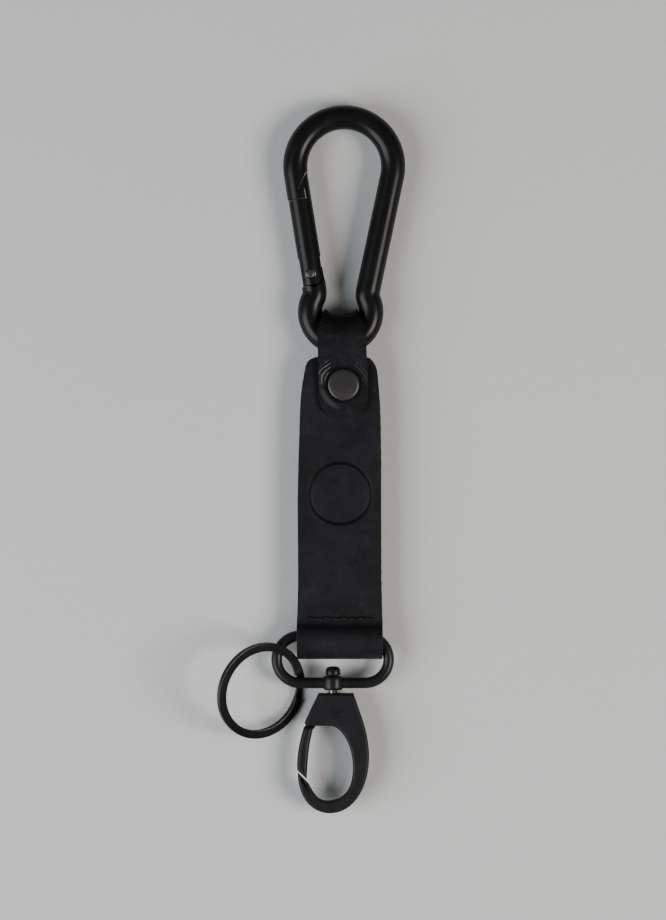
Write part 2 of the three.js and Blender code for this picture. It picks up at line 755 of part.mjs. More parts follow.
function hookBody() {
  let body = solid(plate(hookOutline(), hookThickness, hookBevel, 7));
  const slotHalf = hookSlot / 2;
  const pocket = new THREE.Shape();
  pocket.moveTo(-14, -12);
  pocket.lineTo(-14, -3.2);
  pocket.lineTo(-3.1, -3.2);
  pocket.lineTo(-1.9, -5.4);
  pocket.lineTo(-1.9, -9.0);
  pocket.lineTo(-4.2, -12);
  pocket.closePath();
  body = body.subtract(solid(plate(pocket, 2 * slotHalf)));
  body = body.subtract(solid(yCylinder(postDiameter / 2 + pinFit, -postDepth, 2, 0, 16)));
  const pinHole = zCylinder(
    hookPinDiameter / 2 + pinFit,
    -hookThickness,
    slotHalf + 0.3,
    hookPin.x,
    hookPin.y,
    14,
  );
  body = body.subtract(solid(pinHole));
  const dimpleFloor = hookThickness / 2 - dimple.depth;
  return body.subtract(solid(zCylinder(dimple.radius, dimpleFloor, through, dimple.x, dimple.y, 20)));
}

const hookTangHigh = -0.1;

function hookGate() {
  const tang = new THREE.Shape();
  tang.moveTo(-9.1, -11.2);
  tang.lineTo(hookPin.x - 1.1 * hookTangRadius, hookPin.y + 0.5);
  tang.absarc(hookPin.x, hookPin.y, hookTangRadius, Math.PI - 0.3, 0, true);
  tang.lineTo(-6.0, -11.2);
  tang.closePath();
  const tangLow = -hookSlot / 2 + pinFit;
  const tangGeometry = plate(tang, hookTangHigh - tangLow);
  tangGeometry.translate(0, 0, (hookTangHigh + tangLow) / 2);
  const hole = zCylinder(hookPinDiameter / 2 + pinFit, -through, through, hookPin.x, hookPin.y, 14);
  return solid(plate(hookGateOutline(), hookGateThickness, hookGateBevel, 6))
    .add(solid(tangGeometry))
    .subtract(solid(hole));
}

function hookGatePin() {
  return solid(zCylinder(
    hookPinDiameter / 2,
    -hookThickness / 2 + 0.1,
    hookSlot / 2 + 0.1,
    hookPin.x,
    hookPin.y,
    14,
  ));
}

function hookGateSpring() {
  const radius = hookPinDiameter / 2 + pinFit + hookSpringWire;
  const low = hookTangHigh + pinFit + hookSpringWire / 2;
  const high = hookSlot / 2 - pinFit - hookSpringWire / 2;
  class TorsionWire extends THREE.Curve {
    getPoint(t, target = new THREE.Vector3()) {
      const angle = 2 * Math.PI * hookSpringTurns * t;
      const height = low + (high - low) * t;
      return target.set(radius * Math.cos(angle), -radius * Math.sin(angle), height);
    }
  }
  const geometry = bar(new TorsionWire(), hookSpringWire / 2, 20, 6);
  return solid(geometry.translate(hookPin.x, hookPin.y, 0));
}

// ---------------------------------------------------------------- split ring

// Two flat turns of wire, joined by a short step between the two ends.
class SplitRingPath extends THREE.Curve {
  getPoint(t, target = new THREE.Vector3()) {
    const full = 2 * Math.PI;
    const angle = ringStep + (2 * full - 2 * ringStep) * t;
    const change = THREE.MathUtils.smoothstep(angle, full - ringStep, full + ringStep);
    const radius = (ringDiameter - ringBand) / 2;
    const level = (ringTurn + ringSpace) * (change - 0.5);
    return target.set(radius * Math.cos(angle), radius * Math.sin(angle), level);
  }
}

function splitRing() {
  const high = ringTurn / 2;
  const wide = ringBand / 2;
  const edge = ringChamfer;
  const section = new THREE.Shape();
  section.moveTo(-high, -wide + edge);
  section.lineTo(-high + edge, -wide);
  section.lineTo(high - edge, -wide);
  section.lineTo(high, -wide + edge);
  section.lineTo(high, wide - edge);
  section.lineTo(high - edge, wide);
  section.lineTo(-high + edge, wide);
  section.lineTo(-high, wide - edge);
  section.closePath();
  const path = new SplitRingPath();
  return solid(new THREE.ExtrudeGeometry(section, { extrudePath: path, steps: 92 }));
}

// ---------------------------------------------------------------- assembly

const assembly = new THREE.Group();

node('main_strap', mainStrap(), 'leather', assembly);
node('stitch_thread', stitchThread(), 'thread', assembly);
node('hanger_tab', hangerTab(), 'leather', assembly);
node('binding_post', bindingPost(), 'gunmetal', assembly).position.x = screwShift;
node('binding_screw', bindingScrew(), 'gunmetal', assembly).position.x = screwShift;

const carabiner = new THREE.Group();
carabiner.position.set(eyeCentre.x, eyeCentre.y, 0);
carabiner.rotation.z = -carabinerLean;
assembly.add(carabiner);
node('carabiner_body', carabinerBody(), 'blackCoat', carabiner);

const gate = new THREE.Group();
gateFrame.decompose(gate.position, gate.quaternion, gate.scale);
carabiner.add(gate);
node('carabiner_gate', carabinerGate(), 'blackCoat', gate);
node('carabiner_gate_rivet', carabinerRivet(), 'steel', gate);
node('carabiner_gate_plunger', carabinerPlunger(), 'steel', gate);
node('carabiner_gate_spring', carabinerSpring(), 'steel', gate);

const loop = new THREE.Group();
loop.position.set(loopShift, loopTopY - loopHalf, 0);
assembly.add(loop);
node('swivel_loop', swivelLoop(), 'hookPaint', loop);

const hook = new THREE.Group();
hook.position.set(swivelX, hookTopY, 0);
assembly.add(hook);
node('swivel_post', swivelPost(), 'steel', hook);
node('hook_body', hookBody(), 'hookPaint', hook);
node('hook_gate', hookGate(), 'hookPaint', hook);
node('hook_gate_pin', hookGatePin(), 'steel', hook);
node('hook_gate_spring', hookGateSpring(), 'steel', hook);

// the ring hangs on the loop's left bend
const hangPoint = new THREE.Vector3(
  loopShift - loopStraight + loopHalf * Math.cos(ringHang),
  loopTopY - loopHalf + loopHalf * Math.sin(ringHang),
  0,
);
const ringReach = ringDiameter / 2 - ringBand - loopWire / 2 - ringPlay;
const ringCentre = hangPoint.addScaledVector(ringDrop, ringReach);
const ring = node('split_ring', splitRing(), 'ringBlack', assembly);
ring.position.copy(ringCentre);
ring.quaternion.setFromAxisAngle(
  new THREE.Vector3(Math.sin(ringTiltHeading), -Math.cos(ringTiltHeading), 0),
  ringTilt,
);

// the origin is on the resting surface, under the middle of the object
const group = new THREE.Group();
group.add(assembly);
group.updateMatrixWorld(true);
const bounds = new THREE.Box3().setFromObject(group, true);
const middle = bounds.getCenter(new THREE.Vector3());
assembly.position.set(-middle.x, -middle.y, -bounds.min.z);

export default group;
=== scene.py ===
"""Key organiser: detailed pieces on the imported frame."""
import json
import math

import bmesh
import bpy
from bpy.props import FloatProperty, FloatVectorProperty, IntProperty, PointerProperty
from mathutils import Matrix, Vector


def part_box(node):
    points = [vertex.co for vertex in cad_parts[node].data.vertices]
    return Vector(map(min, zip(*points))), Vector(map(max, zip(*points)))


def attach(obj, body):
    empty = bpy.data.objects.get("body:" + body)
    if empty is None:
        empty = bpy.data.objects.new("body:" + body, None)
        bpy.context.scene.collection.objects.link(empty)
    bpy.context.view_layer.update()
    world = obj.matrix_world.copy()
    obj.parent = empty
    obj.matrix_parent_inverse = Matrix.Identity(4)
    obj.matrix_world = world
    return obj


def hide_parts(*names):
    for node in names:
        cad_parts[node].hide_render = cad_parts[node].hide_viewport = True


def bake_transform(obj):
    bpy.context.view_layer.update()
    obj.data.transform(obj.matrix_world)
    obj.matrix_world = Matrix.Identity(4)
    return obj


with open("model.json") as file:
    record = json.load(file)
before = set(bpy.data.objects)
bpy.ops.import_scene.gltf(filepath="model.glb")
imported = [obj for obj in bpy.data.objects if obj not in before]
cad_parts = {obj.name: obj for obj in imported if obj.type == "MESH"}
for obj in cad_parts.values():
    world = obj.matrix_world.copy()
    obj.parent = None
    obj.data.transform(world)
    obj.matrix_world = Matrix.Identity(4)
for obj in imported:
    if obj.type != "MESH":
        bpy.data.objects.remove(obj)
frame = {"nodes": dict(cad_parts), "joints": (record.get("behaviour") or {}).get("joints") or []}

bl_info = {
    "name": "Key Organiser",
    "version": (1, 0, 0),
    "blender": (4, 5, 0),
    "location": "View3D > Sidebar > Organiser",
    "description": "Builds a leather key organiser with a carabiner, a snap hook and a split ring",
    "category": "Add Mesh",
}

MM = 0.001
MERGE = 0.002 * MM
FINE_MERGE = 0.0005 * MM
FLAT = 0.01 * MM  # how level a rim's edge is
JOINTS = {joint["name"]: Vector(joint["pos_m"]) for joint in frame["joints"] if "pos_m" in joint}
EYE = JOINTS["eye_slide"]
LOOP_PIVOT = JOINTS["loop_swing"]
HOOK_TOP = JOINTS["hook_swivel"]
HOOK_PIN = JOINTS["hook_gate_pivot"]
RING_PIVOT = JOINTS["ring_swing"]
CAP_LOW, CAP_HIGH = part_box("binding_post")
SCREW_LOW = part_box("binding_screw")[0]
SCREW = (CAP_LOW + CAP_HIGH) / 2
STRAP_LOW, STRAP_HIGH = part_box("main_strap")
STRAP_X = (STRAP_LOW.x + STRAP_HIGH.x) / 2
MID_Z = EYE.z


# ---------------------------------------------------------------- sizes and colours

def length(name, description, default):
    """A length in metres for a property group."""
    return FloatProperty(name=name, description=description, default=default, unit="LENGTH")


def colour(name, description, default):
    """A colour for a property group."""
    return FloatVectorProperty(
        name=name, description=description, default=default, subtype="COLOR", size=3, min=0, max=1
    )


class StrapSizes(bpy.types.PropertyGroup):
    """Sizes of the leather strap and tab"""

    leather: length("Leather", "Thickness of one layer of the strap", 2.2 * MM)
    gap: length("Gap", "Space between the two layers", 0.3 * MM)
    edge_round: length("Edge rounding", "Rounding of the strap's cut edges", 0.45 * MM)
    tab_edge_round: length("Tab edge rounding", "Rounding of the tab's cut edges", 0.28 * MM)
    mark: length("Mark", "Diameter of the pressed disc", 19.1 * MM)
    mark_from_top: length("Mark from top", "Top edge to the centre of the disc", 42.5 * MM)
    stitch_from_fold: length("Stitch from fold", "Fold to the row of stitches", 12.8 * MM)
    stitch_pitch: length("Stitch pitch", "Spacing of the stitches", 2.6 * MM)
    stitches: IntProperty(name="Stitches", description="Number of stitches", default=8)
    thread: length("Thread", "Thickness of the thread", 0.95 * MM)
    tab_leather: length("Tab leather", "Thickness of the tab", 1.4 * MM)
    tab_width: length("Tab width", "Width of the tab", 15.2 * MM)
    tab_neck: length("Tab neck", "Width of the tab where it passes through the eye", 10.6 * MM)


class CarabinerSizes(bpy.types.PropertyGroup):
    """Sizes of the carabiner"""

    bar: length("Bar", "Diameter of the bar", 7.6 * MM)
    eye: length("Eye", "Radius of the eye, at the bar's centre", 9.6 * MM)
    bow: length("Bow", "Radius of the bow, at the bar's centre", 15.3 * MM)
    bow_from_eye: length("Bow from eye", "Centre of the eye to the centre of the bow", 45.6 * MM)
    knee: length("Knee", "Radius of the bend between the eye and a leg", 4.4 * MM)
    gate: length("Gate", "Diameter of the gate", 7.2 * MM)
    gate_low: length("Gate foot", "Lower end of the gate along the leg", 9.75 * MM)
    gate_high: length("Gate top", "Upper end of the gate along the leg", 36.6 * MM)
    gap: length("Gap", "Space round the gate", 0.3 * MM)


class HookSizes(bpy.types.PropertyGroup):
    """Sizes of the loop, the snap hook and the split ring"""

    loop_wire: length("Loop wire", "Diameter of the loop's wire", 3.4 * MM)
    loop_length: length("Loop length", "Outside length of the loop", 38.4 * MM)
    loop_height: length("Loop height", "Outside height of the loop", 18.1 * MM)
    hook_thickness: length("Hook thickness", "Thickness of the snap hook", 5.2 * MM)
    hook_edge: length("Hook edge", "Rounding of the snap hook's edges", 0.9 * MM)
    ring: length("Ring", "Outside diameter of the split ring", 30.8 * MM)
    ring_band: length("Ring band", "Width of the split ring's wire", 2.6 * MM)
    ring_turn: length("Ring turn", "Thickness of one turn of the split ring", 0.8 * MM)


class Finishes(bpy.types.PropertyGroup):
    """Colours of the finishes"""

    leather: colour("Leather", "Face of the leather", (0.0052, 0.0046, 0.0062))
    cut_edge: colour("Cut edge", "Cut edges of the leather", (0.024, 0.021, 0.024))
    coat: colour("Black coat", "Coating of the carabiner", (0.0030, 0.0029, 0.0031))
    paint: colour("Hook paint", "Paint of the snap hook", (0.0068, 0.0068, 0.0080))
    wire: colour("Loop coat", "Coating of the loop and the post", (0.0045, 0.0044, 0.0050))
    cap: colour("Cap", "Plating of the binding post", (0.022, 0.020, 0.021))
    rivet: colour("Rivet", "Head of the gate's rivet", (0.035, 0.034, 0.033))
    ring: colour("Ring", "Plating of the split ring", (0.0035, 0.0034, 0.0036))
    bare: colour("Bare metal", "Metal where the coating has worn off", (0.16, 0.135, 0.095))
    paper: colour("Paper", "Floor", (0.455, 0.46, 0.457))


def sizes(group):
    """One of the scene's property groups."""
    return getattr(bpy.context.scene, "organiser_" + group)


# ---------------------------------------------------------------- modelling helpers

def alone(piece=None):
    """Leave edit mode, deselect everything, then select one piece and make it active."""
    if bpy.context.object and bpy.context.object.mode != "OBJECT":
        bpy.ops.object.mode_set(mode="OBJECT")
    bpy.ops.object.select_all(action="DESELECT")
    if piece:
        piece.select_set(True)
        bpy.context.view_layer.objects.active = piece


def shape(piece):
    """Edit a piece with everything in it selected."""
    alone(piece)
    bpy.ops.object.mode_set(mode="EDIT")
    bpy.ops.mesh.select_mode(type="VERT")
    bpy.ops.mesh.select_all(action="SELECT")


def pick(test, kind="VERT"):
    """Select the vertices, edges or faces of the edited piece that pass a test."""
    bpy.ops.mesh.select_mode(type=kind)
    bpy.ops.mesh.select_all(action="DESELECT")
    data = bpy.context.object.data
    mesh = bmesh.from_edit_mesh(data)
    parts = {"VERT": mesh.verts, "EDGE": mesh.edges, "FACE": mesh.faces}[kind]
    found = [part for part in parts if test(part)]
    for part in found:
        part.select_set(True)
    bmesh.update_edit_mesh(data)
    return len(found)


def trace(name, points, closed=True):
    """A chain of vertices through the points, left selected in edit mode; closed, it is one face."""
    alone()
    points = [Vector(point) for point in points]
    bpy.ops.mesh.primitive_plane_add(size=MM, location=points[0])
    piece = bpy.context.object
    piece.name = name
    shape(piece)
    bpy.ops.mesh.merge(type="CENTER")
    for before, after in zip(points, points[1:]):
        bpy.ops.mesh.extrude_region_move(TRANSFORM_OT_translate={"value": after - before})
    bpy.ops.mesh.select_all(action="SELECT")
    if closed:
        bpy.ops.mesh.edge_face_add()
    return piece


def push(vector, steps=1):
    """Extrude what is selected along a vector."""
    for _ in range(steps):
        bpy.ops.mesh.extrude_region_move(TRANSFORM_OT_translate={"value": Vector(vector) / steps})


def turn_about(centre, angle, steps, axis=(0, 0, 1)):
    """Spin what is selected; a positive angle turns by the right-hand rule."""
    bpy.ops.mesh.spin(steps=steps, angle=-angle, center=centre, axis=axis)


def tidy_mesh(piece, merge=MERGE):
    """Merge doubles and point the faces outwards."""
    shape(piece)
    bpy.ops.mesh.remove_doubles(threshold=merge)
    bpy.ops.mesh.normals_make_consistent(inside=False)
    alone(piece)


def lathe(name, profile, sides, axis="Y"):
    """A turned piece from radius and height pairs, about Y or Z through the origin."""
    upright = axis == "Z"
    points = [(radius, 0, height) if upright else (radius, height, 0) for radius, height in profile]
    piece = trace(name, points, closed=False)
    turn_about((0, 0, 0), 2 * math.pi, sides, (0, 0, 1) if upright else (0, 1, 0))
    tidy_mesh(piece)
    return piece


def plate(name, points, low, high, edge=0.0, segments=3):
    """An outline in X and Y made a plate between two heights, with rounded rims."""
    piece = trace(name, [(x, y, low) for x, y in points])
    push((0, 0, high - low))
    shape(piece)
    bpy.ops.mesh.normals_make_consistent(inside=False)
    if edge:
        def rim(line):
            first, last = (piece.matrix_world @ vertex.co for vertex in line.verts)
            return abs(first.z - last.z) < FLAT

        pick(rim, "EDGE")
        bpy.ops.mesh.bevel(offset=edge, segments=segments, affect="EDGES", clamp_overlap=False)
    alone(piece)
    return piece


def place(piece, matrix):
    """Put a piece somewhere and apply the place to its mesh."""
    alone(piece)
    bpy.ops.object.transform_apply(location=True, rotation=True, scale=True)
    piece.matrix_world = matrix
    bpy.ops.object.transform_apply(location=True, rotation=True, scale=True)


def modify(piece, kind, **values):
    """Add a modifier, set it and apply it."""
    alone(piece)
    bpy.ops.object.modifier_add(type=kind)
    change = piece.modifiers[-1]
    for name, value in values.items():
        setattr(change, name, value)
    bpy.ops.object.modifier_apply(modifier=change.name)


def combine(piece, tool, operation="DIFFERENCE"):
    """Cut a tool out of a piece, or join or intersect them, and remove the tool."""
    modify(piece, "BOOLEAN", object=tool, operation=operation, solver="EXACT")
    bpy.data.objects.remove(tool)


def copy_of(piece, name):
    """A copy with a mesh of its own."""
    alone(piece)
    bpy.ops.object.duplicate()
    twin = bpy.context.object
    twin.name = name
    return twin


def rod(radius, low, high, x=0.0, y=0.0, sides=32, axis="Z"):
    """A cylinder between two places on Z or Y, used as a cutting tool."""
    middle = (low + high) / 2
    alone()
    bpy.ops.mesh.primitive_cylinder_add(
        vertices=sides, radius=radius, depth=high - low,
        location=(x, y, middle) if axis == "Z" else (x, middle, 0),
        rotation=(0, 0, 0) if axis == "Z" else (math.pi / 2, 0, 0),
    )
    return bpy.context.object


def block(centre, sides):
    """A box, used as a cutting tool."""
    alone()
    bpy.ops.mesh.primitive_cube_add(size=1, location=centre, scale=sides)
    return bpy.context.object


def smooth(piece, angle=32):
    """Shade a piece smooth, with edges sharper than the angle kept."""
    alone(piece)
    bpy.ops.object.shade_smooth_by_angle(angle=math.radians(angle))
    modify(piece, "WEIGHTED_NORMAL", keep_sharp=True)


def settle(piece, body, finish, node, angle=32):
    """Finish a piece: place applied, faces out, smooth, with its finish, body and CAD node."""
    if piece.matrix_world != Matrix.Identity(4):
        place(piece, Matrix.Identity(4))
    tidy_mesh(piece)
    smooth(piece, angle)
    if not piece.data.materials:
        piece.data.materials.append(finish)
    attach(piece, body)
    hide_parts(node)


def curve(points, b, c, d, steps):
    """Carry points on along a cubic curve that starts at the last of them."""
    a = points[-1]
    for i in range(1, steps + 1):
        t = i / steps
        s = 1 - t
        weights = (s**3, 3 * s * s * t, 3 * s * t * t, t**3)
        points.append(tuple(sum(w * p[k] for w, p in zip(weights, (a, b, c, d))) for k in range(2)))


def in_mm(points):
    """Points given in millimetres, in metres."""
    return [tuple(value * MM for value in point) for point in points]


def between(table, at):
    """A value from a table of (place, value) pairs in rising order."""
    if at <= table[0][0]:
        return table[0][1]
    for (p0, v0), (p1, v1) in zip(table, table[1:]):
        if at <= p1:
            return v0 + (v1 - v0) * (at - p0) / (p1 - p0)
    return table[-1][1]


# ---------------------------------------------------------------- finishes

class Nodes:
    """Adds and feeds shader nodes."""

    def __init__(self, tree):
        self.tree = tree

    def feed(self, node, feeds):
        """Give inputs, by name or number, a socket to follow or a value to keep."""
        for key, value in feeds.items():
            if isinstance(value, bpy.types.NodeSocket):
                self.tree.links.new(value, node.inputs[key])
            else:
                node.inputs[key].default_value = value

    def add(self, kind, feeds=None, **settings):
        """A node with its settings and feeds."""
        made = self.tree.nodes.new("ShaderNode" + kind)
        for name, value in settings.items():
            setattr(made, name, value)
        self.feed(made, feeds or {})
        return made

    def maths(self, operation, a, b=None, clamp=False):
        """One step of arithmetic on sockets or numbers."""
        feeds = {0: a} if b is None else {0: a, 1: b}
        return self.add("Math", feeds, operation=operation, use_clamp=clamp).outputs[0]

    def times(self, a, b, clamp=False):
        return self.maths("MULTIPLY", a, b, clamp)

    def plus(self, a, b, clamp=False):
        return self.maths("ADD", a, b, clamp)

    def off(self, value, centre):
        """How far a value is from a number."""
        return self.maths("ABSOLUTE", self.maths("SUBTRACT", value, centre))

    def noise(self, vector, scale, detail=3.0, roughness=0.5, distortion=0.0):
        return self.add("TexNoise", {
            "Vector": vector, "Scale": scale, "Detail": detail, "Roughness": roughness,
            "Distortion": distortion,
        }).outputs["Fac"]

    def band(self, value, low, high, start=0.0, end=1.0):
        """Map a value from one range to another, smoothly and clamped."""
        return self.add("MapRange", {
            "Value": value, "From Min": low, "From Max": high, "To Min": start, "To Max": end,
        }, interpolation_type="SMOOTHSTEP").outputs["Result"]

    def stretch(self, vector, scale, turn=(0, 0, 0)):
        """Coordinates turned, and scaled along each axis."""
        return self.add("Mapping", {"Vector": vector, "Rotation": turn, "Scale": scale}).outputs["Vector"]

    def axes(self, vector):
        """The X, Y and Z of a vector."""
        return self.add("SeparateXYZ", {0: vector}).outputs

    def blend(self, share, a, b):
        """Mix two colours, each a socket or a colour."""
        made = self.add("Mix", {"Factor": share}, data_type="RGBA")
        ends = [socket for socket in made.inputs if socket.type == "RGBA"]
        for socket, value in zip(ends, (a, b)):
            if isinstance(value, bpy.types.NodeSocket):
                self.tree.links.new(value, socket)
            else:
                socket.default_value = (*value, 1)
        return next(socket for socket in made.outputs if socket.type == "RGBA")


def shade(face, share, lift=0.0):
    """A colour made darker or lighter."""
    return tuple(value * share + lift for value in face)


def shared(name, knobs, outputs, build):
    """A node group made once, from a function of its nodes and inputs that gives its outputs."""
    group = bpy.data.node_groups.get(name)
    if not group:
        group = bpy.data.node_groups.new(name, "ShaderNodeTree")
        sockets = group.interface
        sockets.new_socket(name="Vector", in_out="INPUT", socket_type="NodeSocketVector")
        for label, default in knobs.items():
            knob = sockets.new_socket(name=label, in_out="INPUT", socket_type="NodeSocketFloat")
            knob.default_value = default
        for label in outputs:
            sockets.new_socket(name=label, in_out="OUTPUT", socket_type="NodeSocketFloat")
        nodes = Nodes(group)
        given = group.nodes.new("NodeGroupInput").outputs
        nodes.feed(group.nodes.new("NodeGroupOutput"), build(nodes, given))
    return group


def leather_grain():
    """Hide grain: fine pores, soft mottling and faint long creases."""
    def build(nodes, given):
        vector = given["Vector"]
        cells = nodes.add(
            "TexVoronoi", {"Vector": vector, "Scale": given["Pore Scale"]}, feature="DISTANCE_TO_EDGE")
        pores = nodes.band(cells.outputs["Distance"], 0.02, 0.28)
        fine = nodes.noise(vector, 5200.0, 3, 0.6)
        lines = nodes.band(nodes.off(nodes.noise(vector, 380.0, 4, 0.55, 1.2), 0.5), 0.0, 0.022)
        height = nodes.plus(nodes.times(pores, 0.35), nodes.times(fine, 0.55))
        return {
            "Height": nodes.plus(height, nodes.times(lines, given["Creases"])),
            "Mottle": nodes.noise(vector, 90.0, 4, 0.6, 0.6),
        }

    return shared("Leather grain", {"Pore Scale": 1500.0, "Creases": 0.2}, ("Height", "Mottle"), build)


def handling_marks():
    """Hairline scratches, rubbed patches and specks of dust."""
    def build(nodes, given):
        vector = given["Vector"]
        hair = nodes.noise(nodes.stretch(vector, (1.0, 9.0, 1.0), (0.2, 0.1, 0.6)), 420.0, 5, 0.65, 0.3)
        hair = nodes.band(nodes.off(hair, 0.5), 0.012, 0.0)
        where = nodes.band(nodes.noise(vector, 160.0, 2), 0.5, 0.66)
        specks = nodes.add("TexVoronoi", {"Vector": vector, "Scale": 900.0}).outputs["Distance"]
        few = nodes.band(nodes.noise(vector, 1100.0, 1), 0.62, 0.68)
        marks = {
            "Scratches": nodes.times(hair, where, True),
            "Rubbed": nodes.band(nodes.noise(vector, 120.0, 3, 0.6), 0.42, 0.68),
            "Dust": nodes.times(nodes.band(specks, 0.11, 0.05), few, True),
        }
        return {name: nodes.times(mark, given["Amount"], True) for name, mark in marks.items()}

    return shared("Handling marks", {"Amount": 1.0}, ("Scratches", "Rubbed", "Dust"), build)


def coat_texture():
    """Fine orange peel and grit of a sprayed coating."""
    def build(nodes, given):
        peel = nodes.noise(given["Vector"], 1500.0, 2)
        grit = nodes.noise(given["Vector"], given["Grit Scale"], 2, 0.7)
        return {"Height": nodes.plus(nodes.times(peel, 0.6), nodes.times(grit, 0.4)), "Grit": grit}

    return shared("Coat texture", {"Grit Scale": 6500.0}, ("Height", "Grit"), build)


def begin(name):
    """A new material with its node helper, its shader and its coordinates."""
    finish = bpy.data.materials.new(name)
    finish.use_nodes = True
    nodes = Nodes(finish.node_tree)
    shader = finish.node_tree.nodes["Principled BSDF"]
    return finish, nodes, shader, nodes.add("TexCoord").outputs["Object"]


def use(nodes, group, vector, **values):
    """A shared group placed in a material."""
    return nodes.add("Group", {"Vector": vector, **values}, node_tree=group).outputs


def raise_bump(nodes, shader, height, strength, distance):
    """Feed a height into the shader's normal."""
    bump = nodes.add("Bump", {"Height": height, "Strength": strength, "Distance": distance})
    nodes.feed(shader, {"Normal": bump.outputs["Normal"]})


def leather_finish(name, face, creases, gloss, extra):
    """Waxed black leather; extra gives a height to add, painted highlights or None, and painted shade."""
    finish, nodes, shader, spot = begin(name)
    grain = use(nodes, leather_grain(), spot, Creases=creases)
    marks = use(nodes, handling_marks(), spot)
    raised, painted_highlight, painted_shade = extra(nodes, spot)
    tone = nodes.blend(nodes.band(grain["Mottle"], 0.3, 0.72), shade(face, 0.72), shade(face, 1.9))
    tone = nodes.blend(nodes.times(marks["Scratches"], 0.35), tone, (0.09, 0.085, 0.09))
    tone = nodes.blend(nodes.times(marks["Dust"], 0.4), tone, (0.16, 0.16, 0.16))
    # painted highlight: the extra's light marks lighten the colour where light catches the leather
    if painted_highlight:
        tone = nodes.blend(painted_highlight, tone, (0.085, 0.08, 0.085))
    rough = nodes.band(grain["Mottle"], 0.3, 0.7, *gloss)
    # painted shade: the base colour is darkened by the extra's dark marks where shade falls
    nodes.feed(shader, {
        "Base Color": nodes.blend(painted_shade, tone, (0.0012, 0.0011, 0.0014)),
        "Roughness": nodes.plus(rough, nodes.times(marks["Rubbed"], -0.06)),
        "Specular IOR Level": 0.11,
        "Sheen Weight": 0.02,
        "Sheen Roughness": 0.45,
        "Sheen Tint": (0.75, 0.7, 0.85, 1),
    })
    raise_bump(nodes, shader, nodes.plus(grain["Height"], raised), 0.55, 0.10 * MM)
    return finish


def cut_edge_finish():
    """Burnished cut edge: fibres show as a rougher, lighter band."""
    if "cut_edge" in bpy.data.materials:
        return bpy.data.materials["cut_edge"]
    finish, nodes, shader, spot = begin("cut_edge")
    face = sizes("finishes").cut_edge
    fibre = nodes.noise(spot, 1600.0, 5, 0.75, 0.4)
    nodes.feed(shader, {
        "Base Color": nodes.blend(nodes.band(fibre, 0.35, 0.72), shade(face, 0.5), shade(face, 2.0)),
        "Roughness": nodes.band(fibre, 0.3, 0.7, 0.5, 0.8),
    })
    raise_bump(nodes, shader, fibre, 0.7, 0.25 * MM)
    return finish


def thread_finish():
    """Waxed thread with a twist."""
    finish, nodes, shader, spot = begin("waxed_thread")
    feeds = {"Vector": spot, "Scale": 900.0, "Distortion": 1.0}
    wave = nodes.add("TexWave", feeds, wave_type="BANDS", bands_direction="DIAGONAL").outputs["Fac"]
    nodes.feed(shader, {
        "Base Color": nodes.blend(wave, (0.0015, 0.0015, 0.002), (0.006, 0.006, 0.007)),
        "Roughness": 0.5,
        "Specular IOR Level": 0.16,
    })
    raise_bump(nodes, shader, wave, 0.8, 0.12 * MM)
    return finish


# each coated metal's colour, roughness, metal, grit, wear and specular level
COATS = {
    "black_coat": ("coat", 0.30, 0.0, 0.15, 0.1, 0.14),
    "rivet_head": ("rivet", 0.38, 0.6, 0.4, 0.9, 0.5),
    "cap_plating": ("cap", 0.40, 0.5, 0.25, 0.4, 0.45),
    "loop_coat": ("wire", 0.36, 0.0, 0.25, 0.1, 0.17),
    "post_coat": ("wire", 0.34, 0.0, 0.3, 0.4, 0.2),
    "hook_paint": ("paint", 0.42, 0.0, 0.45, 0.1, 0.10),
    "ring_plating": ("ring", 0.15, 0.0, 0.015, 0.1, 0.3),
}


def coated_metal(name, worn=None):
    """Sprayed or plated black metal, made once; worn gives where the metal is bare."""
    if name in bpy.data.materials:
        return bpy.data.materials[name]
    hue, rough, metal, grit, wear, specular = COATS[name]
    face = getattr(sizes("finishes"), hue)
    finish, nodes, shader, spot = begin(name)
    skin = use(nodes, coat_texture(), spot)
    marks = use(nodes, handling_marks(), spot)
    tone = nodes.blend(nodes.band(skin["Grit"], 0.35, 0.7), face, shade(face, 1.7, 0.002))
    tone = nodes.blend(nodes.times(marks["Scratches"], wear), tone, (0.30, 0.28, 0.25))
    tone = nodes.blend(nodes.times(marks["Dust"], 0.3), tone, (0.2, 0.2, 0.2))
    if worn:
        bare = worn(nodes, spot)
        tone = nodes.blend(bare, tone, sizes("finishes").bare)
        metal = nodes.band(bare, 0.0, 1.0, 0.25, 1.0)
    roughness = nodes.plus(nodes.times(skin["Grit"], 0.10), rough - 0.05)
    nodes.feed(shader, {
        "Base Color": tone,
        "Roughness": nodes.plus(roughness, nodes.times(marks["Rubbed"], -0.03), True),
        "Metallic": metal,
        "Specular IOR Level": specular,
    })
    raise_bump(nodes, shader, skin["Height"], grit, 0.03 * MM)
    return finish


def steel_finish(name, face, rough):
    """Bare drawn steel."""
    finish, nodes, shader, spot = begin(name)
    drawn = nodes.noise(spot, 2400.0, 4, 0.7)
    nodes.feed(shader, {
        "Base Color": nodes.blend(nodes.band(drawn, 0.3, 0.7), shade(face, 0.6), face),
        "Roughness": nodes.band(drawn, 0.3, 0.7, rough, rough + 0.15),
        "Metallic": 1.0,
    })
    raise_bump(nodes, shader, drawn, 0.2, 0.03 * MM)
    return finish


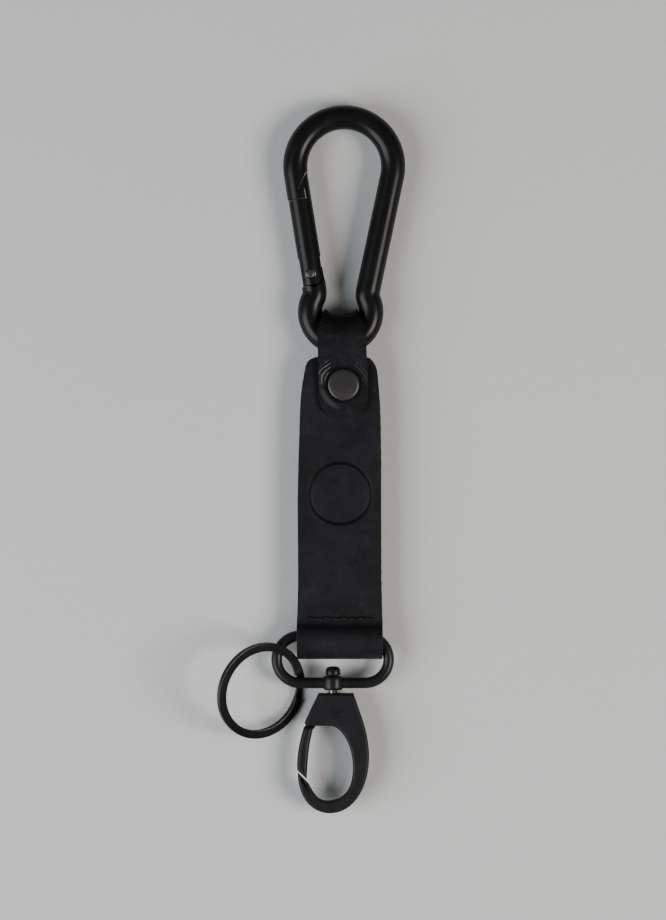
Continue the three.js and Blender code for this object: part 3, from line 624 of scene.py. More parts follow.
def paper_finish():
    """Matt grey paper with a faint tooth."""
    finish, nodes, shader, spot = begin("paper")
    face = sizes("finishes").paper
    tooth = nodes.noise(spot, 1300.0, 4, 0.65)
    broad = nodes.noise(spot, 14.0)
    fibres = nodes.noise(spot, 420.0, 3, 0.6, 0.8)
    tone = nodes.blend(nodes.band(tooth, 0.25, 0.75), shade(face, 0.93), shade(face, 1.06))
    nodes.feed(shader, {
        "Base Color": nodes.blend(nodes.band(broad, 0.3, 0.7, 0.0, 0.35), tone, shade(face, 0.97)),
        "Roughness": 0.9,
        "Specular IOR Level": 0.2,
    })
    raise_bump(nodes, shader, nodes.plus(tooth, nodes.times(fibres, 0.7)), 0.35, 0.12 * MM)
    return finish


# ---------------------------------------------------------------- strap and tab

# half widths of the strap to the left and right, by millimetres from its top edge
STRAP_SIDES = (
    (0.0, (7.0, 7.6)), (0.15, (7.9, 8.6)), (0.35, (8.6, 9.3)), (0.95, (9.7, 9.9)),
    (1.85, (10.5, 10.7)), (4.1, (11.05, 11.7)), (7.2, (11.6, 11.9)), (10.4, (12.05, 12.15)),
    (13.5, (12.35, 12.45)), (19.7, (12.6, 12.7)), (32.2, (13.0, 12.9)), (44.7, (13.25, 12.85)),
    (69.7, (13.1, 12.95)), (79.1, (13.3, 13.15)), (84.1, (13.55, 13.3)), (94.4, (13.45, 13.25)),
)
FOLD_BULGE = 3.6 * MM  # mid-leather height over the loop's wire
FIRST_ROWS = (0, 0.15, 0.4, 0.8, 1.4, 2.2, 3.3, 4.8, 6.8)  # down the strap, in millimetres
ROW_STEP = 1.2
STRAP_COLUMNS = 22
LAST_ROW = 2.5 * MM  # the least room between the last of those rows and the neck
NECK_BELOW_STITCH = 1.4 * MM  # where the layers part
FOLD_SHOULDER = 2.4 * MM  # handles of the fold's curves
FOLD_TIP = 2.8 * MM
RAGGED = 0.09 * MM  # waver of the right edge
GROOVE_CUTS = ((1.5 * MM, 1.34 * MM), (0.5 * MM, 0.08 * MM))  # ring cutters: thickness radius and lift
CUT_WITHIN = 0.9 * MM  # the top edge's depth
CUT_CLEAR = 1.4 * MM  # between the cut edges' finish and the disc


def leather_strip(name, rows, columns):
    """A sheet laid along rows of (y, z, left, right)."""
    alone()
    bpy.ops.mesh.primitive_grid_add(x_subdivisions=columns, y_subdivisions=len(rows) - 1, size=2)
    strip = bpy.context.object
    strip.name = name
    shape(strip)
    across = columns + 1
    mesh = bmesh.from_edit_mesh(strip.data)
    mesh.verts.ensure_lookup_table()
    rest = [mesh.verts[i * across].co.y for i in range(len(rows))]
    for i, (y, z, left, right) in enumerate(rows):
        bpy.ops.mesh.select_all(action="DESELECT")
        mesh = bmesh.from_edit_mesh(strip.data)
        mesh.verts.ensure_lookup_table()
        for k in range(across):
            mesh.verts[i * across + k].select_set(True)
        bmesh.update_edit_mesh(strip.data)
        half = (left + right) / 2
        bpy.ops.transform.resize(value=(half, 1, 1), center_override=(0, rest[i], 0))
        bpy.ops.transform.translate(value=((right - left) / 2, y - rest[i], z))
    alone(strip)
    return strip


def give_thickness(strip, thickness, edge_round):
    """Thickness, rounded rims and a finer surface for a strip of leather."""
    tidy_mesh(strip)
    modify(strip, "SOLIDIFY", thickness=thickness, offset=0.0, use_even_offset=True)
    modify(
        strip, "BEVEL", width=edge_round, segments=3, limit_method="ANGLE",
        angle_limit=math.radians(55), use_clamp_overlap=True,
    )
    modify(strip, "SUBSURF", levels=1, render_levels=1)
    tidy_mesh(strip, FINE_MERGE)


def mark_cut_edges(strip, end, toward, within=None, clear_of=None):
    """Give the cut sides and one end their own finish, up to a height and clear of a round mark."""
    alone(strip)
    strip.data.materials.append(cut_edge_finish())
    shape(strip)

    def cut(face):
        normal = face.normal
        middle = face.calc_center_median()
        if within and middle.y > within:
            return False
        if clear_of and (middle.xy - clear_of[0]).length < clear_of[1]:
            return False
        at_end = normal.y * toward > 0.55 and (middle.y - end) * toward > 0
        return abs(normal.x) > 0.4 or at_end

    pick(cut, "FACE")
    strip.active_material_index = 1
    bpy.ops.object.material_slot_assign()
    alone(strip)


def strap_rows(size, layer):
    """Rows down the front layer, round the fold and up the back one."""
    top, swing = STRAP_HIGH.y, LOOP_PIVOT.y
    neck = STRAP_LOW.y + size.stitch_from_fold - NECK_BELOW_STITCH
    tip = STRAP_LOW.y + size.leather / 2
    down = list(FIRST_ROWS)
    while down[-1] * MM < top - neck - LAST_ROW:
        down.append(down[-1] + ROW_STEP)
    line = [(top - step * MM, layer) for step in down] + [(neck, layer)]
    over_wire = (swing, FOLD_BULGE)
    curve(line, (neck - FOLD_SHOULDER, layer), (swing + FOLD_SHOULDER, FOLD_BULGE), over_wire, 9)
    curve(line, (swing - FOLD_TIP, FOLD_BULGE), (tip, FOLD_BULGE * 0.6), (tip, 0), 9)
    line += [(y, -z) for y, z in reversed(line[:-1])]
    lefts, rights = ([(at * MM, half[side] * MM) for at, half in STRAP_SIDES] for side in (0, 1))
    rows = []
    for y, z in line:
        ragged = RAGGED * math.sin(6100 * y) * math.cos(2700 * y)
        rows.append((y, MID_Z + z, between(lefts, top - y), between(rights, top - y) + ragged))
    return rows


class ORGANISER_OT_strap(bpy.types.Operator):
    """Folded leather strap with a pressed disc"""

    bl_idname = "organiser.strap"
    bl_label = "Strap"

    def execute(self, context):
        size = sizes("strap")
        top = STRAP_HIGH.y
        fold = STRAP_LOW.y
        layer = (size.leather + size.gap) / 2
        strap = leather_strip("strap", strap_rows(size, layer), STRAP_COLUMNS)
        place(strap, Matrix.Translation((STRAP_X, 0, 0)))
        give_thickness(strap, size.leather, size.edge_round)
        disc = Vector((STRAP_X, top - size.mark_from_top, MID_Z + layer + size.leather / 2))
        for minor, lift in GROOVE_CUTS:
            alone()
            bpy.ops.mesh.primitive_torus_add(
                major_radius=size.mark / 2, minor_radius=minor, major_segments=128, minor_segments=40,
                location=disc + Vector((0, 0, lift)),
            )
            combine(strap, bpy.context.object)

        def creases(nodes, spot):
            """Wrinkles over the loop as heights, and painted shade: a dark band under the stitches, a dark
            line at the fold's tip and a dark ring where the disc is pressed in.
            """
            height = nodes.axes(spot)["Y"]
            near = nodes.band(height, fold + 13.5 * MM, fold + 10 * MM)
            wave = nodes.noise(nodes.stretch(spot, (0.35, 3.2, 1.0)), 330.0, 3, 0.5, 0.4)
            level = nodes.plus(height, nodes.times(nodes.noise(spot, 300.0, 3, 0.6), 1.4 * MM))
            row = fold + size.stitch_from_fold
            # painted shade: a dark band in the step under the row of stitches
            under = nodes.times(
                nodes.band(level, row + 0.5 * MM, row - 0.6 * MM),
                nodes.band(level, row - 3.6 * MM, row - 1.6 * MM),
            )
            # painted shade: a dark line along the fold's tip
            tip_shade = nodes.band(level, fold + 1.5 * MM, fold + 0.7 * MM)
            painted_shade = nodes.times(nodes.plus(under, tip_shade, True), 0.75)
            away = nodes.add("VectorMath", {
                0: nodes.stretch(spot, (1, 1, 0)), 1: (disc.x, disc.y, 0),
            }, operation="DISTANCE").outputs["Value"]
            # painted shade: darker in the pressed-in ring round the disc
            groove_shade = nodes.band(nodes.off(away, size.mark / 2), 0.6 * MM, 0.3 * MM, 0.0, 0.9)
            return nodes.times(nodes.times(wave, 3.2), near), None, nodes.maths("MAXIMUM", painted_shade, groove_shade)

        finish = leather_finish("strap_leather", sizes("finishes").leather, 0.25, (0.58, 0.42), creases)
        strap.data.materials.append(finish)
        mark_cut_edges(strap, top - CUT_WITHIN, 1, clear_of=(disc.xy, size.mark / 2 + CUT_CLEAR))
        settle(strap, "strap", finish, "main_strap", angle=38)
        return {"FINISHED"}


STITCH_SHARE = 0.92  # of the pitch that a stitch fills
STITCH_ROUND = 0.24 * MM
STITCH_ARCH = 0.16 * MM
STITCH_STRAY = 0.16 * MM  # off the row
STITCH_LEAN = 5.5  # degrees
STITCH_PROUD = 0.14 * MM
STITCH_UNEVEN = 0.05 * MM


class ORGANISER_OT_stitching(bpy.types.Operator):
    """Row of stitches through both layers"""

    bl_idname = "organiser.stitching"
    bl_label = "Stitching"

    def execute(self, context):
        size = sizes("strap")
        row = STRAP_LOW.y + size.stitch_from_fold
        face = size.gap / 2 + size.leather
        alone()
        bpy.ops.mesh.primitive_cylinder_add(
            vertices=14, radius=size.thread / 2, depth=size.stitch_pitch * STITCH_SHARE,
            rotation=(0, math.pi / 2, 0),
        )
        stitch = bpy.context.object
        bpy.ops.object.transform_apply(location=True, rotation=True, scale=True)
        modify(stitch, "BEVEL", width=STITCH_ROUND, segments=3, limit_method="ANGLE")
        shape(stitch)
        bpy.ops.mesh.bisect(plane_co=(0, 0, 0), plane_no=(1, 0, 0))
        pick(lambda vertex: abs(vertex.co.x) < 0.1 * MM)
        bpy.ops.transform.translate(value=(0, 0, STITCH_ARCH))
        alone(stitch)
        made = []
        first = -(size.stitches - 1) * size.stitch_pitch / 2
        for side in (1, -1):
            for i in range(size.stitches):
                twin = copy_of(stitch, "stitch")
                lean = math.radians(STITCH_LEAN * math.sin(2.3 * i + side))
                spot = Vector((
                    STRAP_X + first + i * size.stitch_pitch,
                    row + STITCH_STRAY * math.sin(3.1 * i + 0.7 * side),
                    MID_Z + side * (face + STITCH_PROUD + STITCH_UNEVEN * math.sin(1.7 * i)),
                ))
                flip = Matrix.Rotation(0 if side > 0 else math.pi, 4, "X")
                place(twin, Matrix.Translation(spot) @ Matrix.Rotation(lean, 4, "Z") @ flip)
                made.append(twin)
        bpy.data.objects.remove(stitch)
        alone(made[0])
        for twin in made:
            twin.select_set(True)
        bpy.ops.object.join()
        settle(made[0], "strap", thread_finish(), "stitch_thread", angle=60)
        made[0].name = "stitching"
        return {"FINISHED"}


TAB_ROWS = (0, 0.12, 0.35, 0.75, 1.3, 2.1, 3.2, 4.7, 6.4, 8.4, 10.7, 13, 15)  # up the tab, in millimetres
TAB_END = 10.7 * MM  # screw to the rounded end
TAB_ROUND = 7.6 * MM  # the end's rounding
TAB_TIP = 0.9 * MM  # half width of the first row
TAB_CLEAR = 0.3 * MM  # between the tab and what it lies on
TAB_FOLD = 9.1 * MM  # the bar to the outside of the fold
TAB_LAST_ROW = 2.5 * MM  # below the strap's top edge
TAB_NARROWS = (5.6 * MM, 1.0 * MM)  # where the narrowing begins and ends, below the fold
TAB_CURL = 9.6 * MM  # the eye's centreline radius, that the fold follows
TAB_COLUMNS = 18
CURL_BANDS = 6  # steps in which the fold is curled, up and across
CURL_SIDES = 8
CURL_STEP = 0.75 * MM


def tab_rows(size, end, bar_y, tip):
    """Rows up the front leaf from its rounded end, over the bar and down the back leaf."""
    under = size.gap / 2 + size.leather + TAB_CLEAR + size.tab_leather / 2
    over = sizes("carabiner").bar / 2 + TAB_CLEAR + size.tab_leather / 2
    edge = STRAP_HIGH.y
    line = [(end + step * MM, under) for step in TAB_ROWS] + [(edge - TAB_LAST_ROW, under)]
    curve(line, (edge, under), (bar_y - 3 * MM, over), (bar_y - 0.5 * MM, over), 8)
    line += [(bar_y + 1.6 * MM, over), (bar_y + 3.0 * MM, over)]
    curve(line, (bar_y + 6.2 * MM, over), (tip, over * 0.66), (tip, 0), 10)
    line += [(y, -z) for y, z in reversed(line[:-1])]
    half = size.tab_width / 2
    rows = []
    for y, z in line:
        width = half
        short = TAB_ROUND - (y - end)
        if short > 0:
            width = max(math.sqrt(max(TAB_ROUND**2 - short**2, 0)), TAB_TIP)
        narrow = min(max((y - tip + TAB_NARROWS[0]) / (TAB_NARROWS[0] - TAB_NARROWS[1]), 0), 1)
        width += (size.tab_neck / 2 - half) * narrow * narrow * (3 - 2 * narrow)
        lean = (EYE.x - SCREW.x) * min(max((y - SCREW.y) / (tip - SCREW.y), 0), 1)
        rows.append((y, MID_Z + z, width - lean, width + lean))
    return rows


def sag(across):
    """How far the fold's curl drops, at a distance from its middle."""
    return TAB_CURL - math.sqrt(TAB_CURL**2 - max(across, 0) ** 2)


def curl_fold(tab, low, high):
    """Raise the sides of the fold, band by band, to follow the eye's curve."""
    shape(tab)
    for k in range(CURL_BANDS):
        level = low + (high - low) * k / CURL_BANDS
        for side in range(CURL_SIDES):
            inner = CURL_STEP * side
            rise = sag(inner + 0.4 * MM) - sag(inner - 0.35 * MM)
            if pick(lambda vertex: vertex.co.y > level and abs(vertex.co.x - EYE.x) > inner):
                bpy.ops.transform.translate(value=(0, rise / CURL_BANDS, 0))
    alone(tab)


class ORGANISER_OT_tab(bpy.types.Operator):
    """Leather tab folded round the carabiner's eye"""

    bl_idname = "organiser.tab"
    bl_label = "Tab"

    def execute(self, context):
        size = sizes("strap")
        bar_y = EYE.y - sizes("carabiner").eye
        tip = bar_y + TAB_FOLD - size.tab_leather / 2
        end = SCREW.y - TAB_END
        tab = leather_strip("tab", tab_rows(size, end, bar_y, tip), TAB_COLUMNS)
        place(tab, Matrix.Translation((SCREW.x, 0, 0)))
        curl_fold(tab, bar_y - 2 * MM, tip - 2 * MM)
        give_thickness(tab, size.tab_leather, size.tab_edge_round)

        def wrinkles(nodes, spot):
            """Crescent wrinkles round the cap and fine bend lines as heights; painted highlights on their
            tops and on the lower-left slope of the dip round the cap; painted shade in the hollow round the
            cap and in a dark band at the fold.
            """
            cap = (SCREW.x, SCREW.y, 0)
            from_cap = nodes.add("VectorMath", {0: spot, 1: cap}, operation="SUBTRACT")
            flat = nodes.stretch(from_cap.outputs[0], (1, 1, 0))
            x, y = nodes.axes(flat)["X"], nodes.axes(flat)["Y"]
            away = nodes.add("VectorMath", {0: flat}, operation="LENGTH").outputs["Value"]
            radius = nodes.maths("DIVIDE", away, MM)
            warp = nodes.noise(spot, 260.0)
            wave = nodes.maths("SINE", nodes.times(nodes.plus(radius, nodes.times(warp, 2.2)), 5.6))
            ring = nodes.times(nodes.band(radius, 5.2, 6.1), nodes.band(radius, 10.5, 7.4))
            above = nodes.times(
                nodes.band(y, -1.0 * MM, 1.6 * MM), nodes.band(nodes.off(x, -0.6 * MM), 2.4 * MM, 4.6 * MM))
            left = nodes.band(x, 1 * MM, -2 * MM, 1.6, 4.2)
            fold = nodes.times(nodes.times(wave, left), nodes.times(ring, above))
            bend = nodes.noise(nodes.stretch(spot, (0.5, 3.0, 1.0)), 700.0, 3, 0.6, 0.5)
            # painted highlight: lighter on the tops of the wrinkles and bend lines
            crest_highlight = nodes.plus(
                nodes.band(fold, 0.8, 3.2, 0.0, 0.9), nodes.band(bend, 0.55, 0.72, 0.0, 0.12))
            # painted highlight: lighter on the slope round the cap that faces the lower left
            toward = nodes.plus(nodes.times(x, -0.75), nodes.times(y, -0.66))
            rim = nodes.times(nodes.band(radius, 5.6, 6.4), nodes.band(radius, 8.2, 6.8))
            dish_highlight = nodes.times(nodes.band(toward, 5.0 * MM, 7.0 * MM), rim)
            # painted shade: darker in the hollow round the cap
            recess_shade = nodes.band(radius, 6.3, 5.1, 0.0, 0.9)
            # painted shade: a dark ragged band where the tab folds over the bar
            ragged = nodes.plus(y, nodes.times(warp, 3.5 * MM))
            rise = tip - SCREW.y
            collar_shade = nodes.band(ragged, rise - 5.5 * MM, rise - 2.6 * MM, 0.0, 0.85)
            return (
                nodes.plus(fold, nodes.times(bend, 1.8)),
                nodes.plus(crest_highlight, nodes.times(dish_highlight, 0.3), True),
                nodes.maths("MAXIMUM", recess_shade, collar_shade),
            )

        face = shade(sizes("finishes").leather, 0.8)
        tab.data.materials.append(leather_finish("tab_leather", face, 0.3, (0.5, 0.34), wrinkles))
        mark_cut_edges(tab, end + 3 * MM, -1, within=bar_y + 2 * MM)
        place(tab, Matrix.Identity(4))
        tidy_mesh(tab, FINE_MERGE)
        smooth(tab, 40)
        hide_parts("hanger_tab")
        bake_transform(tab)
        return {"FINISHED"}


# a head's shape: shares of its radius, and of its thickness below the top
HEAD = (
    (0.0, 0.0), (0.3, 0.01), (0.55, 0.035), (0.76, 0.07), (0.87, 0.11), (0.92, 0.16), (0.955, 0.24),
    (0.985, 0.34), (1.0, 0.48), (1.0, 1.0),
)
HEAD_THICK = 1.3 * MM
BARREL = 2.5 * MM
BARREL_ROOM = 0.3 * MM  # between the barrel's end and the screw's head
SHANK = 1.5 * MM
SHANK_ROOM = 0.9 * MM
SCREW_SLOT = Vector((11, 1.2, 1.2)) * MM


class ORGANISER_OT_fasteners(bpy.types.Operator):
    """Binding post with its cap, and the screw behind"""

    bl_idname = "organiser.fasteners"
    bl_label = "Post and screw"

    def execute(self, context):
        wide = (CAP_HIGH.x - CAP_LOW.x) / 2
        top = CAP_HIGH.z - MID_Z
        bottom = SCREW_LOW.z - MID_Z
        barrel_end = -top + HEAD_THICK + BARREL_ROOM
        shank_end = top - HEAD_THICK - SHANK_ROOM
        finish = coated_metal("cap_plating")
        for name, node, face, inwards, radius, end in (
            ("post", "binding_post", top, -1, BARREL, barrel_end),
            ("screw", "binding_screw", bottom, 1, SHANK, shank_end),
        ):
            profile = [(wide * r, face + inwards * HEAD_THICK * drop) for r, drop in HEAD]
            profile += [(radius, face + inwards * HEAD_THICK), (radius, end), (0, end)]
            piece = lathe(name, profile, 72, "Z")
            if name == "screw":
                combine(piece, block((0, 0, bottom), SCREW_SLOT))
            place(piece, Matrix.Translation((SCREW.x, SCREW.y, MID_Z)))
            settle(piece, "strap", finish, node, angle=28)
        return {"FINISHED"}


# ---------------------------------------------------------------- carabiner

LEG = math.radians(10.5)  # each leg leans out by this angle
LEAN = math.radians(-1.4)  # the carabiner hangs a little to one side
RIVET_OFFSET = -0.4 * MM
RIVET_ALONG = 13.2 * MM
RIVET_HOLE = 1.65 * MM
GATE_TRAVEL = math.radians(28)
TRAVEL_CUTS = 7  # steps in which the gate's room is cut
CLAW = 3.4 * MM  # the claw's lip above the gate
BARB = 4.6 * MM  # the barb above the claw's lip
TANG = 1.2 * MM  # half thickness
TANG_EDGE = 0.15 * MM
CAM_START = 2.7  # the cam's reach in millimetres from the rivet, and its growth per radian
CAM_GROWTH = 1.25
CAM_FROM, CAM_SWEEP, CAM_STEPS = -0.6, 1.8, 16
FOOT_ROUND = 2 * MM  # the gate's heel, at its foot
FOOT_CHAMFER = 0.3 * MM
HEEL_INSET = 0.8 * MM
HEEL_TOP = 4 * MM  # above the rivet
TONGUE_ROOT = 1.6 * MM
TONGUE_SUNK = 2 * MM  # into the gate
BARB_SLOPE = 0.6 * MM
BARB_INSET = 0.4 * MM
BARB_POINT = 0.3 * MM
GATE_SLOT = 3.0 * MM
SLOT_ABOVE_RIVET = 5.1 * MM
GATE_BORE = 1.8 * MM
RIVET_RADIUS = 1.45 * MM
RIVET_SEAT = 1.85 * MM  # where the head meets the round gate
RIVET_PROUD = 0.3 * MM
RIVET_HEAD = ((0.0, 0.0), (0.45, 0.02), (0.75, 0.10), (0.93, 0.24), (1.0, 0.42))  # share of radius, mm down


def leg_out():
    """The legs' centreline from the eye's centre, square to the leg."""
    size = sizes("carabiner")
    return size.bow - size.bow_from_eye * math.sin(LEG)


def on_leg(out, along, side):
    """A point given out from the eye and along a leg, in the carabiner's frame."""
    return Vector((
        side * (out * math.cos(LEG) + along * math.sin(LEG)),
        along * math.cos(LEG) - out * math.sin(LEG),
        0,
    ))


def carabiner_frame():
    return Matrix.Translation(EYE) @ Matrix.Rotation(LEAN, 4, "Z")


def gate_frame():
    """Stands on the left leg, X inwards and Y along the leg."""
    return Matrix.Rotation(LEG, 4, "Z") @ Matrix.Translation((-leg_out(), 0, 0))


def gate_outline(grow=0.0, reach=0.0):
    """The gate seen from the front; grown, it is the room that the gate needs."""
    size = sizes("carabiner")
    out = size.gate / 2 + grow + reach
    low = size.gate_low - grow
    inset = out - HEEL_INSET - reach
    points = [(-out, low + FOOT_CHAMFER), (-out + FOOT_CHAMFER, low), (inset - FOOT_ROUND, low)]
    curve(points, (inset - 0.7 * MM, low), (inset, low + 0.7 * MM), (inset, low + FOOT_ROUND), 5)
    inner = out - reach
    points += [(inner, RIVET_ALONG + HEEL_TOP), (inner, size.gate_high), (-out, size.gate_high)]
    return points


def tongue_outline(grow=0.0, reach=0.0):
    """The barbed tongue above the gate."""
    size = sizes("carabiner")
    shoulder = size.gate_high + CLAW
    inner = size.gate / 2 + reach
    root = size.gate / 2 - TONGUE_ROOT - grow
    low = size.gate_high - TONGUE_SUNK
    top = shoulder + BARB + 2 * grow
    point = BARB_POINT - grow
    return [
        (root, low), (inner, low), (inner, top + BARB_SLOPE), (size.gate / 2 - BARB_INSET - grow, top),
        (point, shoulder + BARB_POINT + grow), (point, shoulder - grow), (root, shoulder - grow),
    ]


def tang_outline():
    """The tang, with the cam that the plunger rides on: a spiral round the rivet."""
    foot = sizes("carabiner").gate_low
    points = [(-2.4 * MM, foot - 2 * MM), (2.8 * MM, foot - 2 * MM), (3.7 * MM, foot)]
    for k in range(CAM_STEPS, -1, -1):
        angle = CAM_FROM + CAM_SWEEP * k / CAM_STEPS
        reach = (CAM_START + CAM_GROWTH * angle) * MM
        points.append((RIVET_OFFSET + reach * math.sin(angle), RIVET_ALONG + reach * math.cos(angle)))
    return points + [(-2.4 * MM, RIVET_ALONG)]


class ORGANISER_OT_carabiner(bpy.types.Operator):
    """Bent bar of the carabiner, with its hinge tang and claw"""

    bl_idname = "organiser.carabiner"
    bl_label = "Carabiner body"

    def execute(self, context):
        size = sizes("carabiner")
        out = leg_out()
        along = math.sqrt((size.eye + size.knee) ** 2 - (out + size.knee) ** 2)
        left = on_leg(out + size.knee, along, -1)
        right = on_leg(out + size.knee, along, 1)
        turn = math.atan2(right.y, right.x)
        start = on_leg(out, size.gate_low + 1.2 * MM, -1)
        first = left + Vector((math.cos(LEG), math.sin(LEG), 0)) * size.knee
        alone()
        bpy.ops.mesh.primitive_circle_add(
            vertices=40, radius=size.bar / 2, location=start, rotation=(math.pi / 2, 0, LEG)
        )
        body = bpy.context.object
        body.name = "carabiner"
        shape(body)
        push(first - start)
        turn_about(left, -(LEG + turn), 12)
        turn_about((0, 0, 0), math.pi + 2 * turn, 48)
        turn_about(right, -(LEG + turn), 12)
        bow = Vector((0, size.bow_from_eye, 0))
        bow_start = bow + Vector((math.cos(LEG), -math.sin(LEG), 0)) * size.bow
        last = right + Vector((-math.cos(LEG), math.sin(LEG), 0)) * size.knee
        push(bow_start - last, 6)
        turn_about(bow, math.pi + 2 * LEG, 60)
        bow_end = bow + Vector((-math.cos(LEG), -math.sin(LEG), 0)) * size.bow
        nose = on_leg(out, size.gate_high + size.gap, -1)
        push(nose - bow_end, 2)
        bpy.ops.mesh.select_all(action="SELECT")
        bpy.ops.mesh.fill_holes(sides=0)
        alone(body)
        tidy_mesh(body)
        hinge = Vector((RIVET_OFFSET, RIVET_ALONG, 0))
        for k in range(TRAVEL_CUTS + 1):
            turned = Matrix.Rotation(-GATE_TRAVEL * k / TRAVEL_CUTS, 4, "Z")
            swing = Matrix.Translation(hinge) @ turned @ Matrix.Translation(-hinge)
            for outline in (gate_outline(size.gap, 0), tongue_outline(size.gap / 2, 1 * MM)):
                tool = plate("room", outline, -size.bar, size.bar)
                place(tool, gate_frame() @ swing)
                combine(body, tool)
        tang = plate("tang", tang_outline(), -TANG, TANG, TANG_EDGE, 2)
        place(tang, gate_frame())
        combine(body, tang, "UNION")
        hole = rod(RIVET_HOLE, -3 * MM, 3 * MM, RIVET_OFFSET, RIVET_ALONG)
        place(hole, gate_frame())
        combine(body, hole)
        place(body, carabiner_frame())
        settle(body, "carabiner", coated_metal("black_coat"), "carabiner_body", angle=30)
        return {"FINISHED"}


class ORGANISER_OT_carabiner_gate(bpy.types.Operator):
    """Sprung gate of the carabiner with its rivet"""

    bl_idname = "organiser.carabiner_gate"
    bl_label = "Carabiner gate"

    def execute(self, context):
        size = sizes("carabiner")
        gate = plate("gate", gate_outline(), -size.bar, size.bar)
        combine(gate, plate("tongue", tongue_outline(), -size.bar, size.bar), "UNION")
        low, high = size.gate_low - 2 * MM, size.gate_high + 12 * MM
        combine(gate, rod(size.gate / 2, low, high, sides=48, axis="Y"), "INTERSECT")
        slot_top = RIVET_ALONG + SLOT_ABOVE_RIVET
        combine(gate, block((0, slot_top - 6 * MM, 0), (20 * MM, 12 * MM, GATE_SLOT)))
        combine(gate, rod(RIVET_HOLE, -6 * MM, 6 * MM, RIVET_OFFSET, RIVET_ALONG))
        bore = rod(GATE_BORE, slot_top - 1 * MM, size.gate_high - 4 * MM)
        place(bore, Matrix.Translation((RIVET_OFFSET, 0, 0)) @ Matrix.Rotation(-math.pi / 2, 4, "X"))
        combine(gate, bore)
        place(gate, carabiner_frame() @ gate_frame())
        coat = coated_metal("black_coat")
        settle(gate, "carabiner_gate", coat, "carabiner_gate", angle=30)
        reach = math.sqrt((size.gate / 2) ** 2 - RIVET_SEAT**2) + RIVET_PROUD
        profile = [(RIVET_RADIUS * r, reach - drop * MM) for r, drop in RIVET_HEAD]
        profile += [(r, -h) for r, h in reversed(profile)]
        rivet = lathe("rivet", profile, 36, "Z")
        place(rivet, carabiner_frame() @ gate_frame() @ Matrix.Translation((RIVET_OFFSET, RIVET_ALONG, 0)))
        metal = coated_metal("rivet_head")
        settle(rivet, "carabiner_gate", metal, "carabiner_gate_rivet", angle=40)
        return {"FINISHED"}


# ---------------------------------------------------------------- loop, hook and ring

# radius and height in millimetres: one half of the loop's boss, and the post from its tail to its head
BOSS = ((0.0, -2.2), (2.45, -2.2), (2.75, -2.1), (2.95, -1.9), (3.08, -1.6), (3.15, -1.0), (3.17, 0.0))
POST = (
    (0.0, -4.7), (1.3, -4.7), (1.3, 5.58), (1.9, 5.6), (2.2, 5.68), (2.33, 5.85), (2.36, 6.2), (2.34, 6.9),
    (2.24, 7.4), (2.02, 7.85), (1.7, 8.15), (1.2, 8.34), (0.6, 8.42), (0.0, 8.44),
)
POST_HOLE = 1.5 * MM
HOLE_REACH = 4 * MM
BAR_BELOW = 1.0 * MM  # the loop's hinge below its upper wire


def bare_neck(nodes, spot):
    """Where the post's coating is worn off: the left of its neck."""
    axes = nodes.axes(spot)
    rough_edge = nodes.times(nodes.noise(spot, 900.0, 3, 0.6), 0.6 * MM)
    height, sideways = nodes.plus(axes["Y"], rough_edge), nodes.plus(axes["X"], rough_edge)
    return nodes.times(
        nodes.band(height, HOOK_TOP.y + 1.75 * MM, HOOK_TOP.y + 1.35 * MM),
        nodes.band(sideways, HOOK_TOP.x + 0.5 * MM, HOOK_TOP.x - 0.1 * MM),
    )


class ORGANISER_OT_loop(bpy.types.Operator):
    """Wire loop with the boss that the hook turns in, and the hook's post"""

    bl_idname = "organiser.loop"
    bl_label = "Loop and post"

    def execute(self, context):
        size = sizes("hook")
        half = size.loop_height / 2 - size.loop_wire / 2
        straight = size.loop_length / 2 - size.loop_height / 2
        swivel = HOOK_TOP.x - LOOP_PIVOT.x
        alone()
        bpy.ops.mesh.primitive_circle_add(
            vertices=32, radius=size.loop_wire / 2, location=(-straight, -half, 0),
            rotation=(0, math.pi / 2, 0),
        )
        loop = bpy.context.object
        loop.name = "loop"
        shape(loop)
        push((2 * straight, 0, 0), 8)
        turn_about((straight, 0, 0), math.pi, 36)
        push((-2 * straight, 0, 0), 8)
        turn_about((-straight, 0, 0), math.pi, 36)
        tidy_mesh(loop)
        boss = lathe("boss", in_mm([*BOSS, *((r, -h) for r, h in reversed(BOSS[:-1]))]), 48)
        place(boss, Matrix.Translation((swivel, -half, 0)))
        combine(loop, boss, "UNION")
        combine(loop, rod(POST_HOLE, -half - HOLE_REACH, -half + HOLE_REACH, swivel, axis="Y"))
        place(loop, Matrix.Translation((LOOP_PIVOT.x, LOOP_PIVOT.y + BAR_BELOW - half, MID_Z)))
        settle(loop, "loop", coated_metal("loop_coat"), "swivel_loop", angle=34)
        post = lathe("swivel_post", in_mm(POST), 48)
        place(post, Matrix.Translation(HOOK_TOP))
        settle(post, "hook", coated_metal("post_coat", bare_neck), "swivel_post", angle=40)
        return {"FINISHED"}


